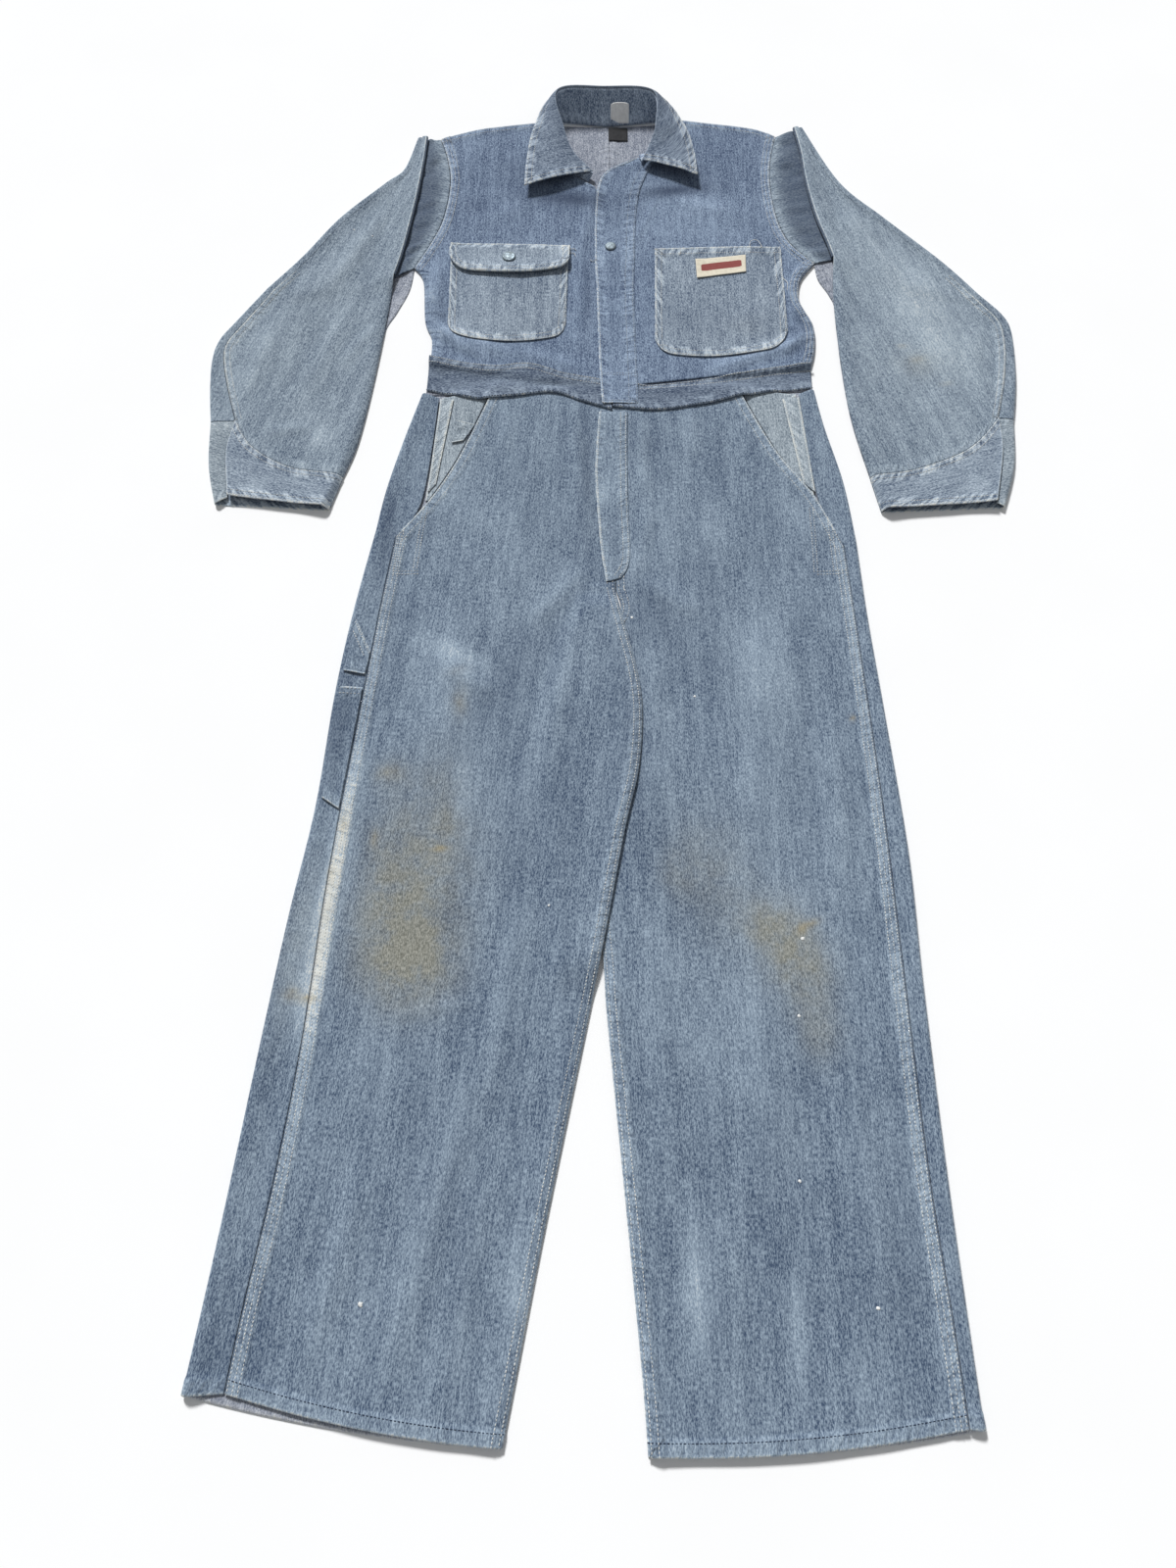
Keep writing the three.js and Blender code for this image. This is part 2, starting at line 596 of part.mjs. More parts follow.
const SLEEVE_COLUMNS = [0, 0.1, 0.25, 0.42, 0.6, 0.78, 0.91, 1];

// An edge moved sideways by widths that change evenly along it.
function besideEdge(edge, widths, towards) {
  return (t) => {
    const here = edge(t);
    const way = edge(Math.min(t + 0.01, 1)).clone().sub(edge(Math.max(t - 0.01, 0)));
    const side = new THREE.Vector2(way.y, -way.x).normalize();
    if (side.dot(towards(t).clone().sub(here)) < 0) {
      side.negate();
    }
    const s = Math.min(t * (widths.length - 1), widths.length - 1 - 1e-9);
    const k = Math.floor(s);
    return here.clone().addScaledVector(side, THREE.MathUtils.lerp(widths[k], widths[k + 1], s - k));
  };
}

function pleat(hand, ridgeEdge) {
  const armhole = rail(EDGES[hand].armhole);
  const up = [1 / 3, 2 / 3, 1];
  return evenly(ARMHOLE_STEPS).map((t, j) => {
    const seam = armhole(1 - t);
    const over = ridgeEdge(t / 2);
    const out = over.clone().sub(seam).normalize();
    const place = (from, distance, z) => {
      const p = from.clone().addScaledVector(out, distance);
      return new THREE.Vector3(p.x, p.y, z);
    };
    const depth = PLEAT_DEPTH[j];
    const turn = (from, distance, way, z) => up.map((k) => place(
      from,
      distance + way * PLEAT_RADIUS * Math.sin(Math.PI * k),
      z + PLEAT_RADIUS * (1 - Math.cos(Math.PI * k)),
    ));
    return [
      place(seam, SEAM_GAP + 0.1, FRONT_Z),
      place(over, depth, FRONT_Z),
      ...turn(over, depth, 1, FRONT_Z),
      place(over, 0, FRONT_Z + 2 * PLEAT_RADIUS),
      ...turn(over, 0, -1, FRONT_Z + 2 * PLEAT_RADIUS),
      place(over, 1, PLEAT_TOP),
    ];
  });
}

function sleeve(hand) {
  const s = SLEEVES[hand];
  const fold = rail(...s.fold);
  const ridgeEdge = rail(...s.ridge);
  const seam = besideEdge(fold, s.strip, ridgeEdge);
  const armhole = [...EDGES[hand].armhole].reverse().map(([x, y]) => [x + (hand === 'right' ? -0.4 : 0.4), y]);
  const underFlat = sheet({
    left: fold,
    right: rail(armhole, s.underarm),
    columns: [0, 0.3, 0.65, 1],
    rows: SLEEVE_ROWS,
    height: () => BACK_Z,
  });
  const under = wrapOver(underFlat, seam, SLEEVE_ROWS);
  const seamEnd = seam(1).toArray();
  const upper = sheet({
    left: seam,
    right: ridgeEdge,
    top: rail([seamEnd, ...s.cuffSeam, s.ridge[1][4]]),
    columns: SLEEVE_COLUMNS,
    rows: SLEEVE_ROWS,
    height: ({ x, y, v, fromLeft, fromRight }) => {
      const outside = foldTop(x, y, fold(v).distanceTo(seam(v)) + fromLeft);
      const head = FRONT_Z + (PLEAT_TOP - FRONT_Z) * Math.exp(-((fromRight / PLEAT_FADE) ** 2));
      const cuffRise = CUFF_ARCH * 0.5 * smoothstep(v, 0.75, 1) * Math.min(1, fromLeft * fromRight / 1200);
      const inner = v <= 0.5 ? head : pressedEdge(x, y, fromRight);
      return Math.max(inner, v <= 0.5 ? Math.min(outside, PLEAT_TOP) : inner + outside - lying(x, y)) + cuffRise;
    },
  });
  const below = ([x, y]) => [x, y - SEAM_GAP - 0.1];
  const cuffSeam = rail([seamEnd, ...s.cuffSeam, s.ridge[1][4]].map(below));
  const vent = rail([below(seamEnd), ...s.vent]);
  const inner = rail([below(s.ridge[1][4]), s.cuffInner]);
  const cuffRows = evenly(4);
  const cuffFold = rail([below(s.fold[1][5]), ...s.cuffFold]);
  const cuffUnder = wrapOver(sheet({
    left: cuffFold,
    right: inner,
    columns: evenly(3),
    rows: cuffRows,
    height: () => BACK_Z,
  }), vent, cuffRows);
  const cuffUpper = sheet({
    left: vent,
    right: inner,
    bottom: cuffSeam,
    columns: SLEEVE_COLUMNS,
    rows: cuffRows,
    height: ({ x, y, v, fromLeft, fromRight }) => {
      const outside = foldTop(x, y, cuffFold(v).distanceTo(vent(v)) + fromLeft) - lying(x, y);
      const open = Math.min(1, (fromLeft + 8) * fromRight / 900);
      return pressedEdge(x, y, fromRight) + outside + CUFF_ARCH * (0.5 + 0.5 * v) * open;
    },
  });
  return { under, upper, cuffUnder, cuffUpper, ridgeEdge };
}

// ---- joining two closed bodies into one ----
const wasm = await Module();
wasm.setup();

function solid(geometry) {
  const bare = geometry.clone();
  bare.deleteAttribute('normal');
  bare.deleteAttribute('uv');
  const merged = mergeVertices(bare, 1e-4);
  return new wasm.Manifold(new wasm.Mesh({
    numProp: 3,
    vertProperties: merged.getAttribute('position').array,
    triVerts: Uint32Array.from(merged.getIndex().array),
  }));
}

function joined(a, b) {
  const { vertProperties, triVerts } = solid(a).add(solid(b)).getMesh();
  const geometry = new THREE.BufferGeometry();
  geometry.setAttribute('position', new THREE.BufferAttribute(vertProperties, 3));
  geometry.setIndex(Array.from(triVerts));
  geometry.computeVertexNormals();
  return geometry;
}

for (const hand of ['right', 'left']) {
  const { under, upper, cuffUnder, cuffUpper, ridgeEdge } = sleeve(hand);
  addCloth(`sleeve_under_${hand}`, under);
  add(`sleeve_upper_${hand}`, joined(wall(upper), wall(pleat(hand, ridgeEdge))), DENIM);
  addCloth(`cuff_under_${hand}`, cuffUnder);
  addCloth(`cuff_upper_${hand}`, cuffUpper, PALE_DENIM);
}

// ---- collar ----
// It stands up round the neck and falls outwards from its rolled edge. Each line runs from the
// wearer's right at the throat, round the back of the neck, to the left at the throat.
const COLLAR_BASE = [
  [0, 1376, 5.2], [-36, 1410, 5.2], [-49, 1450, 5], [-45, 1499, 2.2], [28, 1497, 1.4],
  [101, 1500, 2.2], [106, 1458, 5], [94, 1436, 6.2], [68, 1426, 6.8],
];
const COLLAR_ROLL = [
  [7, 1389, 11], [-19, 1420, 17], [-32, 1458, 24], [-38, 1514, 36], [22, 1525, 38],
  [84, 1513, 36], [91, 1464, 28], [84, 1438, 19], [72, 1408, 13],
];
const COLLAR_EDGE = [
  [-84, 1358, 14], [-82, 1410, 13], [-74, 1464, 15], [-50, 1526, 15], [22, 1543, 9],
  [98, 1526, 16], [130, 1470, 18], [142, 1421, 16], [145, 1376, 16],
];
const COLLAR_ROWS = evenly(13);
const COLLAR_CLOTH = 1.9;
const line3 = (points) => new THREE.CatmullRomCurve3(points.map((p) => new THREE.Vector3(...p)));

// A sheet from one line in space to another, bulging upwards between them.
function between(low, high, columns, bulge) {
  const [a, b] = [line3(low), line3(high)];
  return COLLAR_ROWS.map((t) => columns.map((u) => {
    const p = a.getPoint(t).lerp(b.getPoint(t), u);
    return p.setZ(p.z + 4 * bulge * u * (1 - u));
  }));
}

const standTop = COLLAR_ROLL.map(([x, y, z]) => [x, y, z - DOUBLE]);
addCloth('collar_stand', between(COLLAR_BASE, standTop, [0, 0.5, 1], 0), DARK_DENIM, COLLAR_CLOTH);
addCloth('collar_fall', between(COLLAR_ROLL, COLLAR_EDGE, [0, 0.2, 0.45, 0.72, 1], 3), PALE_DENIM, COLLAR_CLOTH);

// ---- blank neck labels ----
addCloth('neck_label_upper', sheet({
  left: rail([[31, 1492], [31, 1507]]),
  right: rail([[56, 1492], [56, 1507]]),
  columns: evenly(1),
  rows: evenly(2),
  height: ({ v }) => 5 + 19 * v,
}), WHITE, 1);
addCloth('neck_label_lower', sheet({
  left: rail([[28, 1460], [28, 1486]]),
  right: rail([[54, 1460], [54, 1486]]),
  columns: evenly(1),
  rows: evenly(1),
  height: () => BACK_Z + CLOTH / 2 + LAYER_GAP + 0.5,
}), BLACK, 1);

// ---- button and snaps ----
function stud(name, [x, y], { radius, height }, pieces) {
  const profile = [[0, 0], [0.62, 0], [1, 0.35], [0.96, 0.72], [0.72, 0.94], [0, 1]];
  const outline = profile.map(([r, z]) => new THREE.Vector2(r * radius, z * height));
  const geometry = new THREE.LatheGeometry(outline, 12);
  geometry.rotateX(Math.PI / 2);
  const around = evenly(8).map((t) => [x + radius * Math.cos(2 * Math.PI * t), y + radius * Math.sin(2 * Math.PI * t)]);
  const top = Math.max(topOf(pieces, x, y), ...around.map((p) => topOf(pieces, ...p)));
  geometry.translate(x, y, top + SEAM_GAP);
  add(name, geometry, METAL);
}

stud('flap_button', [-101, 1233], CHEST_BUTTON, [flap]);
stud('placket_snap', [29, 1256], SNAP, [placket]);

export default garment;
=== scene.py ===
# %% [markdown]
# # A worn denim coverall, laid flat
# The garment lies on its back on a pale floor: closed in front, sleeves down beside the body, collar
# standing up a little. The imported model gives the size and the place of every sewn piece. Here each
# piece is cut again from the same outlines as a much finer sheet, with its creases, felled seams,
# puckers and wear, and then it is stitched.

# %% Load the frame
import math

import bpy
import numpy as np
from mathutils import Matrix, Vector
from mathutils.bvhtree import BVHTree


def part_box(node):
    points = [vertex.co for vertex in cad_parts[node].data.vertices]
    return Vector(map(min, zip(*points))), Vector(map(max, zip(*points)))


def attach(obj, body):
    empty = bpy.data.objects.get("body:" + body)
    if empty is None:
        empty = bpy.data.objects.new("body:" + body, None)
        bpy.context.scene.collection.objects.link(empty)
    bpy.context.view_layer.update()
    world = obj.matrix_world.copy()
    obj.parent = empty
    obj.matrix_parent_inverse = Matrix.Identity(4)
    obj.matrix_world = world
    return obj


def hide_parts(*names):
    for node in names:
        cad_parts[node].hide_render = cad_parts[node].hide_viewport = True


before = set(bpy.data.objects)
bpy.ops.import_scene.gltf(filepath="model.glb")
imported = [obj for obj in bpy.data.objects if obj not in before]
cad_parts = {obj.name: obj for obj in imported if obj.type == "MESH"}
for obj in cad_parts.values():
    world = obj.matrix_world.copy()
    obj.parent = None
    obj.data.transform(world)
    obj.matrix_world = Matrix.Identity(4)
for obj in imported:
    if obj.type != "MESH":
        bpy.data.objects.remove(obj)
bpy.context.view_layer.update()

# %% [markdown]
# ## Plan
# A pattern cutter works in millimetres on a flat plan, so the outlines below do too. The snap on the
# placket is at a known spot of that plan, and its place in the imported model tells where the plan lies.

# %% The cutter's plan
MM = 0.001
SNAP_AT = np.array([29, 1256])
BUTTON_AT = np.array([-101, 1233])


def middle(node):
    low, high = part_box(node)
    return (np.array(low) + np.array(high)) / 2


PLAN_AT = middle("placket_snap")[:2] - SNAP_AT * MM


def placed(points):
    """Plan points in mm, in the frame in metres."""
    points = np.asarray(points, float) * MM
    points[..., :2] += PLAN_AT
    return points


print("the plan's own zero is at", PLAN_AT.round(4))

# %% [markdown]
# ## Camera
# The camera stands at the foot of the garment, a little over a metre up, and looks down steeply, so
# the hems look wide and the collar small. It is set first.

# %% Camera
CAMERA_HEIGHT = 1.1
CAMERA_PITCH = 65.6  # degrees below the horizon
camera = bpy.data.objects.new("camera", bpy.data.cameras.new("camera"))
bpy.context.scene.collection.objects.link(camera)
camera.data.lens = 27
camera.data.sensor_width = 36
camera.location = (*PLAN_AT, CAMERA_HEIGHT)
camera.rotation_euler = (math.radians(90 - CAMERA_PITCH), 0, 0)
bpy.context.scene.camera = camera
print("camera at", tuple(camera.location))

# %% [markdown]
# ## Lines and sheets
# An edge of a piece is a smooth line through a few points, or several such lines that meet at corners.
# A sheet is stretched between two side edges and, where they curve, a bottom and a top edge. Its
# stations are close together near seams, where the cloth has detail, and wider apart in between.


# %% Smooth lines
def bend(a, b, c, d, t):
    """From b to c as t goes from 0 to 1, heading the way that a and d set."""
    cubic = t**3 * (1.5 * (b - c) + 0.5 * (d - a))
    return b + 0.5 * t * (c - a) + t**2 * (a - 2.5 * b + 2 * c - 0.5 * d) + cubic


def smooth(points, per_span=40):
    """A curve through the points, as a function of the share of its length."""
    p = np.array(points, float)
    ends = np.vstack([p[:1], p, p[-1:]])
    t = np.linspace(0, 1, per_span, endpoint=False)[:, None]
    spans = [bend(a, b, c, d, t) for a, b, c, d in zip(ends, ends[1:], ends[2:], ends[3:])]
    dense = np.vstack([*spans, p[-1:]])
    run = np.concatenate([[0], np.cumsum(np.linalg.norm(np.diff(dense, axis=0), axis=1))])

    def at(s):
        return np.stack([np.interp(np.asarray(s) * run[-1], run, column) for column in dense.T], axis=-1)

    return at


def rail(*stretches):
    """An edge made of smooth stretches that meet at corners."""
    curves = [smooth(points) for points in stretches]

    def at(t):
        s = np.clip(np.asarray(t, float) * len(curves), 0, len(curves) - 1e-9)
        k = np.floor(s).astype(int)
        found = np.zeros(np.shape(s) + (2,))
        for n, curve in enumerate(curves):
            found[k == n] = curve(s[k == n] - n)
        return found

    return at


def shares(*stretches):
    """Stations on a rail: each stretch is a list of lengths with the step to take over them, in mm."""
    found = []
    for k, runs in enumerate(stretches):
        total = sum(length for length, _ in runs)
        start = 0
        for length, step in runs:
            count = max(1, round(length / step))
            found += [k + (start + length * i / count) / total for i in range(count)]
            start += length
    return np.array([*found, len(stretches)]) / len(stretches)


def step(x, low, high):
    """Smoothly from 0 at low to 1 at high."""
    t = np.clip((x - low) / (high - low), 0, 1)
    return t * t * (3 - 2 * t)


print("middle of a bend:", smooth([[1, 0], [0.7, 0.7], [0, 1]])(0.5).round(3))


# %% Sheets in plan
class Lay:
    """A piece laid out in plan, with each point's distance from the edges and its run along them."""

    def __init__(self, left, right, columns, rows, bottom=None, top=None):
        u = columns[None, :, None]
        v = rows[:, None, None]
        (a, b), (c, d) = (left(0.0), right(0.0)), (left(1.0), right(1.0))
        low = bottom(columns)[None] if bottom else (1 - u) * a + u * b
        high = top(columns)[None] if top else (1 - u) * c + u * d
        sides = (1 - u) * left(rows)[:, None] + u * right(rows)[:, None]
        corners = (1 - v) * ((1 - u) * a + u * b) + v * ((1 - u) * c + u * d)
        self.measure((1 - v) * low + v * high + sides - corners)

    def measure(self, xy):
        self.xy = xy
        self.x, self.y = xy[..., 0], xy[..., 1]
        self.left = np.linalg.norm(xy - xy[:, :1], axis=2)
        self.right = np.linalg.norm(xy - xy[:, -1:], axis=2)
        self.bottom = np.linalg.norm(xy - xy[:1], axis=2)
        self.top = np.linalg.norm(xy - xy[-1:], axis=2)
        self.up = run_along(xy, 0)
        self.across = run_along(xy, 1)


def run_along(points, axis):
    """Length along the rows (axis 1) or the columns (axis 0) of a grid."""
    steps = np.linalg.norm(np.diff(points, axis=axis), axis=2)
    start = np.zeros_like(np.take(steps, [0], axis=axis))
    return np.cumsum(np.concatenate([start, steps], axis=axis), axis=axis)


def measured(points):
    """The measures of a sheet that is already made: in plan, or along the cloth if it stands up."""
    lay = Lay.__new__(Lay)
    lay.measure(points)
    return lay


def on(lay, z):
    """The sheet's points at their heights."""
    return np.dstack([lay.xy, np.broadcast_to(z, lay.x.shape)])


# %% Soft unevenness
def softly(x, y, seed):
    """Smooth random hills between 0 and 1, about one unit across. The seed fixes them."""
    table = np.random.default_rng(seed).random((32, 32))
    column, row = np.floor(x).astype(int), np.floor(y).astype(int)
    s, t = step(x - column, 0, 1), step(y - row, 0, 1)

    def corner(i, j):
        return table[(column + i) % 32, (row + j) % 32]

    low = (1 - s) * corner(0, 0) + s * corner(1, 0)
    high = (1 - s) * corner(0, 1) + s * corner(1, 1)
    return (1 - t) * low + t * high


def spot(x, y, at, size, turn=0.0):
    """A soft round spot of 1 at its middle: size is its half width and half length."""
    dx, dy = x - at[0], y - at[1]
    c, s = math.cos(math.radians(turn)), math.sin(math.radians(turn))
    return np.exp(-((c * dx + s * dy) / size[0]) ** 2 - ((c * dy - s * dx) / size[1]) ** 2)


# %% [markdown]
# ## How the upper cloth lies
# Old denim keeps soft ridges where it was worn and folded. Each ridge below runs from one place to
# another with its own height and width; sharper creases gather at the armpits, the waist and the
# crotch. A cloth simulation would drape a new sheet, but these worn-in folds sit where wear put them,
# so they are listed one by one.

# %% Ridges and creases
CLOTH = 1.2
DOUBLE = 2.4
SEAM_GAP = 0.3
FOLD_RADIUS = 3
FOLD_FADE = 14
EDGE_SWELL = 2.6
EDGE_REACH = 8
CENTRE_X = 29
BACK_Z = CLOTH / 2
PINCH_Z = BACK_Z + CLOTH + SEAM_GAP
FRONT_Z = PINCH_Z + 0.5

RIDGES = [  # from, to, height, width
    ((-206, 1198), (-190, 1148), 4, 9),
    ((-203, 1118), (-95, 1076), 5, 11),
    ((270, 1192), (263, 1130), 4, 9),
    ((276, 1096), (150, 1050), 4, 10),
    ((-110, 190), (-172, -60), 3, 18),
    ((155, 310), (175, 130), 3, 18),
    ((-150, 700), (-120, 420), 4, 32),
    ((190, 690), (170, 450), 4, 32),
    ((-330, 1230), (-400, 1040), 3, 28),
    ((400, 1210), (455, 1040), 3, 28),
    ((-205, 1170), (-168, 1092), 3.2, 6),
    ((-192, 1228), (-184, 1128), 2.6, 7),
    ((-168, 1092), (-120, 1066), 2.4, 6),
    ((-196, 1145), (-176, 1140), 2.2, 5),
    ((-95, 1083), (-10, 1052), 2.2, 9),
    ((252, 1128), (270, 1090), 2.8, 5),
    ((268, 1110), (240, 1075), 2.4, 6),
    ((262, 1160), (255, 1195), 2.2, 6),
    ((10, 1380), (-12, 1245), 1.8, 7),
    ((92, 1352), (57, 1257), 1.2, 4),
    ((-70, 1340), (-150, 1300), 1.6, 14),
    ((110, 1345), (190, 1320), 1.6, 14),
    ((-20, 990), (-8, 860), 2.2, 9),
    ((-8, 900), (4, 800), 1.8, 7),
    ((62, 980), (66, 850), 2.0, 8),
    ((70, 850), (52, 740), 1.8, 9),
    ((-6, 760), (-60, 690), 2.4, 12),
    ((60, 745), (120, 700), 2.2, 12),
    ((-100, 1000), (-92, 930), 1.8, 9),
    ((120, 985), (122, 915), 1.8, 9),
    ((-30, 640), (-60, 430), 2.4, 18),
    ((70, 660), (75, 470), 2.4, 18),
    ((-60, 380), (-95, 190), 2.2, 15),
    ((-240, 520), (-255, 330), 2.0, 12),
    ((250, 560), (245, 380), 2.0, 14),
    ((60, 300), (78, 120), 2.0, 14),
    ((-200, 130), (-235, -40), 2.2, 13),
    ((236, 240), (252, 20), 2.0, 14),
    ((120, 90), (118, -80), 2.0, 16),
    ((-95, 120), (-118, -70), 1.8, 14),
    ((-190, 255), (-110, 272), 1.3, 5),
    ((-160, 640), (-90, 600), 1.8, 12),
    ((-262, 1320), (-330, 1180), 2.2, 12),
    ((-300, 1150), (-345, 1000), 2.4, 14),
    ((-390, 1130), (-410, 1010), 2.0, 11),
    ((-330, 960), (-380, 955), 1.8, 8),
    ((-262, 1120), (-300, 1060), 2.0, 8),
    ((330, 1330), (392, 1200), 2.2, 12),
    ((350, 1140), (385, 1000), 2.4, 14),
    ((470, 1110), (476, 1010), 2.0, 11),
    ((325, 1110), (352, 1040), 2.0, 8),
]


def ridge(x, y, start, end, height, width):
    along = np.subtract(end, start)
    length = np.hypot(*along)
    ux, uy = along / length
    t = ((x - start[0]) * ux + (y - start[1]) * uy) / length
    off = (x - start[0]) * uy - (y - start[1]) * ux
    bend = width * 0.5 * (softly(t * 2.3 + start[0], y * 0 + start[1], 7) - 0.5)
    ends = step(t, -0.15, 0.3) * (1 - step(t, 0.7, 1.15))
    return height * ends * np.exp(-(((off + bend) / width) ** 2))


def lying(x, y):
    """Height of the middle of the upper cloth where nothing holds it down."""
    z = FRONT_Z + 1.5 * softly(x / 60, y / 105, 1) + 0.8 * softly(x / 24, y / 38, 2)
    for fold in RIDGES:
        z = z + ridge(x, y, *fold)
    return z


def fold_top(x, y, distance, back_z=BACK_Z):
    """Height of the upper cloth some way in from a fold of the side."""
    base = lying(x, y)
    return base + (back_z + 2 * FOLD_RADIUS - base) * np.exp(-((distance / FOLD_FADE) ** 2))


def pressed_edge(x, y, distance, swell=EDGE_SWELL):
    """Height of the upper cloth some way in from an edge that is pressed flat on the back."""
    reach = distance / EDGE_REACH
    return PINCH_Z + (lying(x, y) - PINCH_Z) * (1 - np.exp(-reach)) + swell * reach * np.exp(1 - reach)


THIGH_LIFT = 4.8
LIFT_LEAD = 24
HIDDEN_THIGH = [[15, 306], [11, 350], [4, 420], [0, 500], [6, 600], [22, 675], [36, 707]]


def thigh_lift(x, y):
    """How far the right thigh is raised where it rides up over the left one."""
    reach = step(y, 270, 315) * (1 - step(y, 706, 733))
    edge_x, edge_y = np.array(HIDDEN_THIGH, float).T
    edge = np.interp(y, edge_y, edge_x)
    return THIGH_LIFT * reach * step(x, edge - 34, edge - 12)


print(len(RIDGES), "ridges; the thigh rides up by", THIGH_LIFT, "mm")

# %% [markdown]
# ## Felled seams
# A felled seam is a flat strip, four layers thick, with rows of stitches that pull thin valleys into
# it. Its relief is worked out from the distance to the seam's edge.

# %% Relief along seams
STRIP_ROWS = (1.8, 6.4, 11.0)  # rows of stitches on a triple-stitched strip
STRIP_WIDTH = 13
PAIR_ROWS = (1.8, 8.0)


def felled(distance, rows=STRIP_ROWS, width=STRIP_WIDTH, rise=1.0):
    """Extra height of a felled strip at a distance from its edge."""
    strip = rise * (1 - step(distance, width - 0.9, width + 0.9))
    for row in rows:
        strip = strip - 0.42 * np.exp(-(((distance - row) / 0.9) ** 2))
    return strip


def turned(distance, rows=PAIR_ROWS, width=10, rise=0.6):
    """Extra height of an edge that is turned under and stitched."""
    roll = 0.3 * np.exp(-((distance / 1.6) ** 2))
    return roll + felled(distance, rows, width, rise)


print("a strip rises", round(float(felled(np.array(4.0))), 2), "mm between its rows")

# %% [markdown]
# ## Finishes
# Worn denim is blue warp over white weft. Three things make its look: a salt-and-pepper grain from the
# twill, long streaks along the warp where the yarn was thick, and seams that fade in short dashes where
# puckers were rubbed. Each is a node group, used by every denim material with its own values. The grain
# follows the UV map, which is in metres across and along the warp, and the seam dashes follow two
# attributes: the distance to the nearest seam and the run along it.


# %% Short ways to add nodes
def node(tree, kind, inputs=None, **settings):
    made = tree.nodes.new(kind)
    for name, value in settings.items():
        setattr(made, name, value)
    for name, value in (inputs or {}).items():
        if isinstance(value, bpy.types.NodeSocket):
            tree.links.new(value, made.inputs[name])
        else:
            made.inputs[name].default_value = value
    return made


def calc(tree, operation, *values, clamp=False):
    made = node(tree, "ShaderNodeMath", dict(enumerate(values)), operation=operation, use_clamp=clamp)
    return made.outputs[0]


def blend(tree, factor, a, b, mode="MIX"):
    made = node(tree, "ShaderNodeMix", {0: factor, 6: a, 7: b}, data_type="RGBA", blend_type=mode)
    return made.outputs[2]


def remap(tree, value, low, high, to_low=0.0, to_high=1.0):
    made = node(
        tree,
        "ShaderNodeMapRange",
        {"Value": value, "From Min": low, "From Max": high, "To Min": to_low, "To Max": to_high},
        interpolation_type="SMOOTHSTEP",
    )
    return made.outputs["Result"]


def stretched(tree, vector, scale):
    made = node(tree, "ShaderNodeVectorMath", {0: vector, 1: scale}, operation="MULTIPLY")
    return made.outputs[0]


def cloudy(tree, vector, scale=1.0, detail=2.0, roughness=0.5):
    given = {"Vector": vector, "Scale": scale, "Detail": detail, "Roughness": roughness}
    return node(tree, "ShaderNodeTexNoise", given).outputs["Fac"]


def group(name, inputs, outputs):
    """An empty shader group with named sockets: kind is Float, Vector or Color."""
    tree = bpy.data.node_groups.new(name, "ShaderNodeTree")
    for in_out, sockets in (("INPUT", inputs), ("OUTPUT", outputs)):
        for socket, kind in sockets.items():
            tree.interface.new_socket(name=socket, in_out=in_out, socket_type="NodeSocket" + kind)
    return tree, tree.nodes.new("NodeGroupInput").outputs, tree.nodes.new("NodeGroupOutput").inputs


def use(tree, group_tree, inputs):
    made = tree.nodes.new("ShaderNodeGroup")
    made.node_tree = group_tree
    for name, value in inputs.items():
        if isinstance(value, bpy.types.NodeSocket):
            tree.links.new(value, made.inputs[name])
        else:
            made.inputs[name].default_value = value
    return made.outputs


# %% Weave group
def weave_group():
    tree, given, out = group(
        "Denim weave", {"Grain": "Vector"}, {"Speckle": "Float", "Streak": "Float", "Twill": "Float"}
    )
    uv = given["Grain"]
    fine = cloudy(tree, stretched(tree, uv, (950, 300, 1)), detail=2.0, roughness=0.7)
    clumps = cloudy(tree, stretched(tree, uv, (560, 90, 1)), detail=2.5, roughness=0.6)
    speckle = calc(tree, "ADD", calc(tree, "MULTIPLY", fine, 0.74), calc(tree, "MULTIPLY", clumps, 0.26))
    tree.links.new(remap(tree, speckle, 0.38, 0.63), out["Speckle"])
    narrow = cloudy(tree, stretched(tree, uv, (430, 34, 1)), detail=2.5, roughness=0.65)
    broad = cloudy(tree, stretched(tree, uv, (90, 7, 1)), detail=2.0)
    streak = calc(tree, "ADD", calc(tree, "MULTIPLY", narrow, 0.62), calc(tree, "MULTIPLY", broad, 0.38))
    tree.links.new(remap(tree, streak, 0.36, 0.66), out["Streak"])
    parts = node(tree, "ShaderNodeSeparateXYZ", {"Vector": uv}).outputs
    slant = calc(tree, "ADD", calc(tree, "MULTIPLY", parts[0], 5200), calc(tree, "MULTIPLY", parts[1], 3600))
    tree.links.new(calc(tree, "MULTIPLY_ADD", calc(tree, "SINE", slant), 0.5, 0.5), out["Twill"])
    return tree


WEAVE = weave_group()
print("weave group:", len(WEAVE.nodes), "nodes")


# %% Seam dash group
def dash_group():
    tree, given, out = group(
        "Seam dashes",
        {"Edge": "Float", "Run": "Float", "Width": "Float", "Pitch": "Float"},
        {"Dash": "Float", "Band": "Float"},
    )
    run = calc(tree, "DIVIDE", given["Run"], given["Pitch"])
    lean = calc(tree, "MULTIPLY", given["Edge"], 0.045)
    place = node(tree, "ShaderNodeCombineXYZ", {"X": calc(tree, "ADD", run, lean), "Y": lean}).outputs[0]
    dash = cloudy(tree, place, detail=1.2, roughness=0.45)
    tree.links.new(remap(tree, dash, 0.38, 0.6), out["Dash"])
    beyond = calc(tree, "SUBTRACT", given["Edge"], given["Width"])
    tree.links.new(remap(tree, beyond, -2.0, 4.0, 1.0, 0.0), out["Band"])
    return tree


DASHES = dash_group()
print("seam dash group:", len(DASHES.nodes), "nodes")
